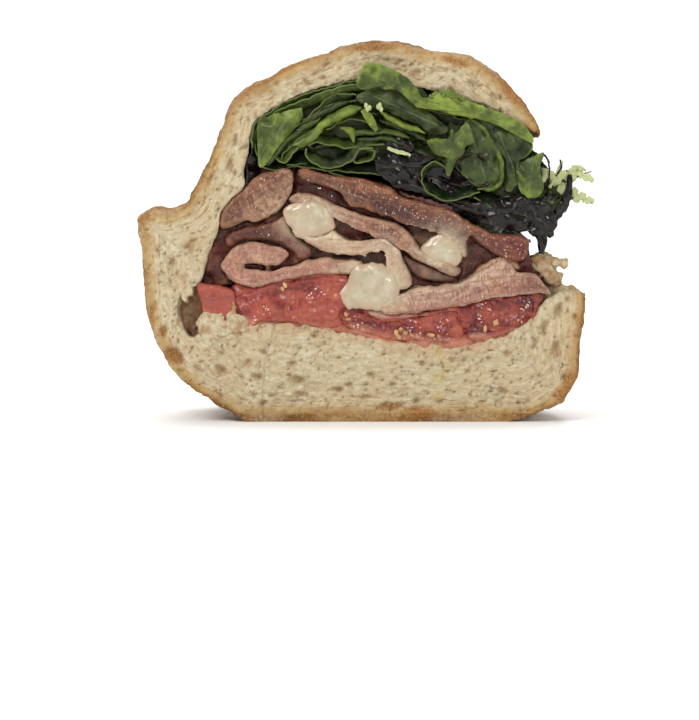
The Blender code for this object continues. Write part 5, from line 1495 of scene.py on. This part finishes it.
def make_stage(look):
    """A pale sweep, soft lights and the camera."""
    bm = bmesh.new()
    bmesh.ops.create_grid(bm, x_segments=1, y_segments=1, size=3.0)
    far = [e for e in bm.edges if all(v.co.y > 2.9 for v in e.verts)]
    rise = bmesh.ops.extrude_edge_only(bm, edges=far)["geom"]
    for vert in [g for g in rise if isinstance(g, bmesh.types.BMVert)]:
        vert.co.z += 3.0
    bmesh.ops.bevel(bm, geom=far, offset=1.5, segments=16, profile=0.5, affect="EDGES", material=-1)
    bmesh.ops.recalc_face_normals(bm, faces=bm.faces)
    floor = piece_of("floor", bm)
    pale = Finish("pale_floor", 0.6)
    cloud = pale.ramp(pale.noise(400.0), [(0.3, (252, 252, 251)), (0.7, (254, 254, 253))])
    floor.data.materials.append(pale.done(cloud))
    world = bpy.data.worlds.new("studio")
    bpy.context.scene.world = world
    world.use_nodes = True
    world.node_tree.nodes["Background"].inputs["Color"].default_value = (0.98, 0.99, 1.0, 1.0)
    world.node_tree.nodes["Background"].inputs["Strength"].default_value = look.fill
    for name, size, power, spot in (
        ("key", 0.45, look.key, (-0.55, -0.6, 0.75)),
        ("side", 0.4, look.key * 0.3, (0.7, -0.55, 0.4)),
        ("back", 0.6, look.key * 0.5, (0.2, 0.7, 0.9)),
        ("sparkle", 0.03, look.key * 0.14, (-0.15, -0.8, 0.5)),
        ("glint", 0.03, look.key * 0.12, (0.2, -0.9, 0.2)),
        ("sweep", 2.0, look.sweep, (0.0, 0.9, 2.6)),
    ):
        lamp = bpy.data.lights.new(name, "AREA")
        lamp.size, lamp.energy = size, power
        made = link(name, lamp)
        made.location = spot
        aimed = Vector((0.0, 2.6, 0.8)) if name == "sweep" else Vector((0.0, 0.0, 0.04))
        made.rotation_euler = (aimed - Vector(spot)).to_track_quat("-Z", "Y").to_euler()
    lens = bpy.data.cameras.new("camera")
    camera = link("camera", lens)
    aim = Vector(((IMAGE_WIDTH / 2 - BASE_PIXEL[0]) * PIXEL, -HALF_DEPTH / 2 * MM,
                  (BASE_PIXEL[1] - IMAGE_HEIGHT / 2) * PIXEL))
    tilt = math.radians(look.camera_height)
    back = Vector((0.0, -math.cos(tilt), math.sin(tilt)))
    camera.location = aim + back * look.camera_distance
    camera.rotation_euler = (-back).to_track_quat("-Z", "Y").to_euler()
    lens.sensor_width = SENSOR_WIDTH
    lens.lens = SENSOR_WIDTH * look.camera_distance / (IMAGE_HEIGHT * PIXEL)
    lens.clip_start, lens.clip_end = 0.05, 20.0
    bpy.context.scene.camera = camera
    bpy.context.scene.view_settings.view_transform = "Standard"


class RollLook(bpy.types.PropertyGroup):
    face_size: FloatProperty(name="Face size", description="Width of the crust's faces, in millimetres",
                             default=0.85, min=0.4)
    hole_count: IntProperty(name="Small holes", description="How many small holes the cut crumb has",
                            default=520, min=0)
    seed: IntProperty(name="Seed", description="Which scatter of holes is used", default=4)
    crust_tint: FloatVectorProperty(name="Tint", description="Colour the bread is multiplied by",
                                    subtype="COLOR", default=(1.0, 1.0, 1.0))


class BaconLook(bpy.types.PropertyGroup):
    face_size: FloatProperty(name="Face size", description="Width of the rashers' faces, in millimetres",
                             default=0.5, min=0.25)
    beads: IntProperty(name="Beads", description="Beads of fat on the cut edges", default=620, min=0)
    ragged: FloatProperty(name="Ragged edge", description="Unevenness of a rasher's width, in millimetres",
                          default=0.3, min=0.0)
    ripple: FloatProperty(name="Ripple", description="Relief of the rashers' faces, in millimetres",
                          default=0.3, min=0.0)
    bacon_tint: FloatVectorProperty(name="Tint", description="Colour the meat is multiplied by",
                                    subtype="COLOR", default=(1.0, 1.0, 1.0))


class TomatoLook(bpy.types.PropertyGroup):
    face_size: FloatProperty(name="Face size", description="Width of the slices' faces, in millimetres",
                             default=0.5, min=0.25)
    beads: IntProperty(name="Beads", description="Beads of juice on the cut flesh", default=130, min=0)
    swell: FloatProperty(name="Swell", description="Unevenness of the slices' sides, in millimetres",
                         default=0.35, min=0.0)
    tomato_tint: FloatVectorProperty(name="Tint", description="Colour the slices are multiplied by",
                                     subtype="COLOR", default=(1.0, 1.0, 1.0))


class MayonnaiseLook(bpy.types.PropertyGroup):
    gloss: FloatProperty(name="Gloss", description="Strength of the wet coat",
                         subtype="FACTOR", default=0.4, min=0.0, max=1.0)


class SaladLook(bpy.types.PropertyGroup):
    leaf_thickness: FloatProperty(name="Leaf thickness", description="Thickness of a leaf, in millimetres",
                                  default=0.35, min=0.1)
    side_leaves: IntProperty(name="Side leaves", description="Leaves that hang from the open side",
                             default=14, min=0)
    end_leaves: IntProperty(name="End leaves", description="Leaves that show at the rounded end",
                            default=7, min=0)
    seed: IntProperty(name="Seed", description="Which scatter of leaves is used", default=11)
    leaf_tint: FloatVectorProperty(name="Tint", description="Colour the leaves are multiplied by",
                                   subtype="COLOR", default=(1.0, 1.0, 1.0))


class StageLook(bpy.types.PropertyGroup):
    key: FloatProperty(name="Key light", description="Power of the main soft light",
                       unit="POWER", default=5.8, min=0.0)
    sweep: FloatProperty(name="Backdrop light", description="Power of the light on the backdrop",
                         unit="POWER", default=60.0, min=0.0)
    fill: FloatProperty(name="Fill", description="Strength of the light from all round",
                        default=0.4, min=0.0)
    camera_distance: FloatProperty(name="Camera distance", description="Distance from the cut face",
                                   unit="LENGTH", default=1.1, min=0.3)
    camera_height: FloatProperty(name="Camera height", description="Degrees above the horizon", default=4.0)


class SANDWICH_OT_roll(bpy.types.Operator):
    """Make the hinged roll with its crust and cut crumb"""
    bl_idname = "sandwich.roll"
    bl_label = "Roll"

    def execute(self, context):
        make_roll(context.scene.roll_look)
        return {"FINISHED"}


class SANDWICH_OT_bacon(bpy.types.Operator):
    """Make the folded rashers"""
    bl_idname = "sandwich.bacon"
    bl_label = "Bacon"

    def execute(self, context):
        look = context.scene.bacon_look
        spots = [make_rasher(node.replace("bacon", "rasher"), node, section, look)
                 for node, section in RASHERS.items()]
        for name, (node, *section) in BANDS.items():
            make_rasher(name, node, section, look)
        make_packed_meat(look)
        draw = random.Random(7)
        wet = gathered(np.vstack(spots), 90, 2.6, draw)
        make_beads("rasher_fat_sparkle", "bacon_top", wet, look.beads, draw)
        return {"FINISHED"}


class SANDWICH_OT_tomato(bpy.types.Operator):
    """Make the wet tomato slices"""
    bl_idname = "sandwich.tomato"
    bl_label = "Tomato"

    def execute(self, context):
        look = context.scene.tomato_look
        spots = np.vstack([make_tomato(node, section, look) for node, section in SLICES.items()])
        make_pulp(look)
        draw = random.Random(3)
        wet = gathered(spots, 24, 1.5, draw)
        make_beads("tomato_juice_glint", "tomato_left", wet, look.beads, draw)
        seeds = [(x, -0.5, z) for x, z in SEEDS]
        make_beads("tomato_seeds", "tomato_middle", seeds, len(seeds) * 2, random.Random(5))
        return {"FINISHED"}


class SANDWICH_OT_mayonnaise(bpy.types.Operator):
    """Make the dollops of mayonnaise"""
    bl_idname = "sandwich.mayonnaise"
    bl_label = "Mayonnaise"

    def execute(self, context):
        look = context.scene.mayonnaise_look
        material = mayonnaise_finish(look)
        for node, section in SMEARS.items():
            make_dollop(node, section, material)
        return {"FINISHED"}


class SANDWICH_OT_salad(bpy.types.Operator):
    """Make the heap of mixed leaves"""
    bl_idname = "sandwich.salad"
    bl_label = "Salad"

    def execute(self, context):
        make_salad(context.scene.salad_look)
        return {"FINISHED"}


class SANDWICH_OT_stage(bpy.types.Operator):
    """Set the floor, the lights and the camera"""
    bl_idname = "sandwich.stage"
    bl_label = "Stage"

    def execute(self, context):
        make_stage(context.scene.stage_look)
        return {"FINISHED"}


OPERATORS = (SANDWICH_OT_roll, SANDWICH_OT_bacon, SANDWICH_OT_tomato, SANDWICH_OT_mayonnaise,
             SANDWICH_OT_salad, SANDWICH_OT_stage)
LOOKS = {"roll_look": RollLook, "bacon_look": BaconLook, "tomato_look": TomatoLook,
         "mayonnaise_look": MayonnaiseLook, "salad_look": SaladLook, "stage_look": StageLook}


class VIEW3D_PT_sandwich(bpy.types.Panel):
    """Lists the sandwich's pieces and their settings"""
    bl_label = "Sandwich"
    bl_space_type = "VIEW_3D"
    bl_region_type = "UI"
    bl_category = "Sandwich"

    def draw(self, context):
        for operator, look in zip(OPERATORS, LOOKS):
            box = self.layout.box()
            box.operator(operator.bl_idname)
            settings = getattr(context.scene, look)
            for name in settings.__annotations__:
                box.prop(settings, name)


def register():
    for look_class in LOOKS.values():
        bpy.utils.register_class(look_class)
    for operator in OPERATORS:
        bpy.utils.register_class(operator)
    bpy.utils.register_class(VIEW3D_PT_sandwich)
    for name, look_class in LOOKS.items():
        setattr(bpy.types.Scene, name, PointerProperty(type=look_class))


def unregister():
    for name in LOOKS:
        delattr(bpy.types.Scene, name)
    bpy.utils.unregister_class(VIEW3D_PT_sandwich)
    for operator in reversed(OPERATORS):
        bpy.utils.unregister_class(operator)
    for look_class in reversed(list(LOOKS.values())):
        bpy.utils.unregister_class(look_class)


def main():
    register()
    for operator in OPERATORS:
        family, name = operator.bl_idname.split(".")
        getattr(getattr(bpy.ops, family), name)()


if __name__ == "__main__":
    main()
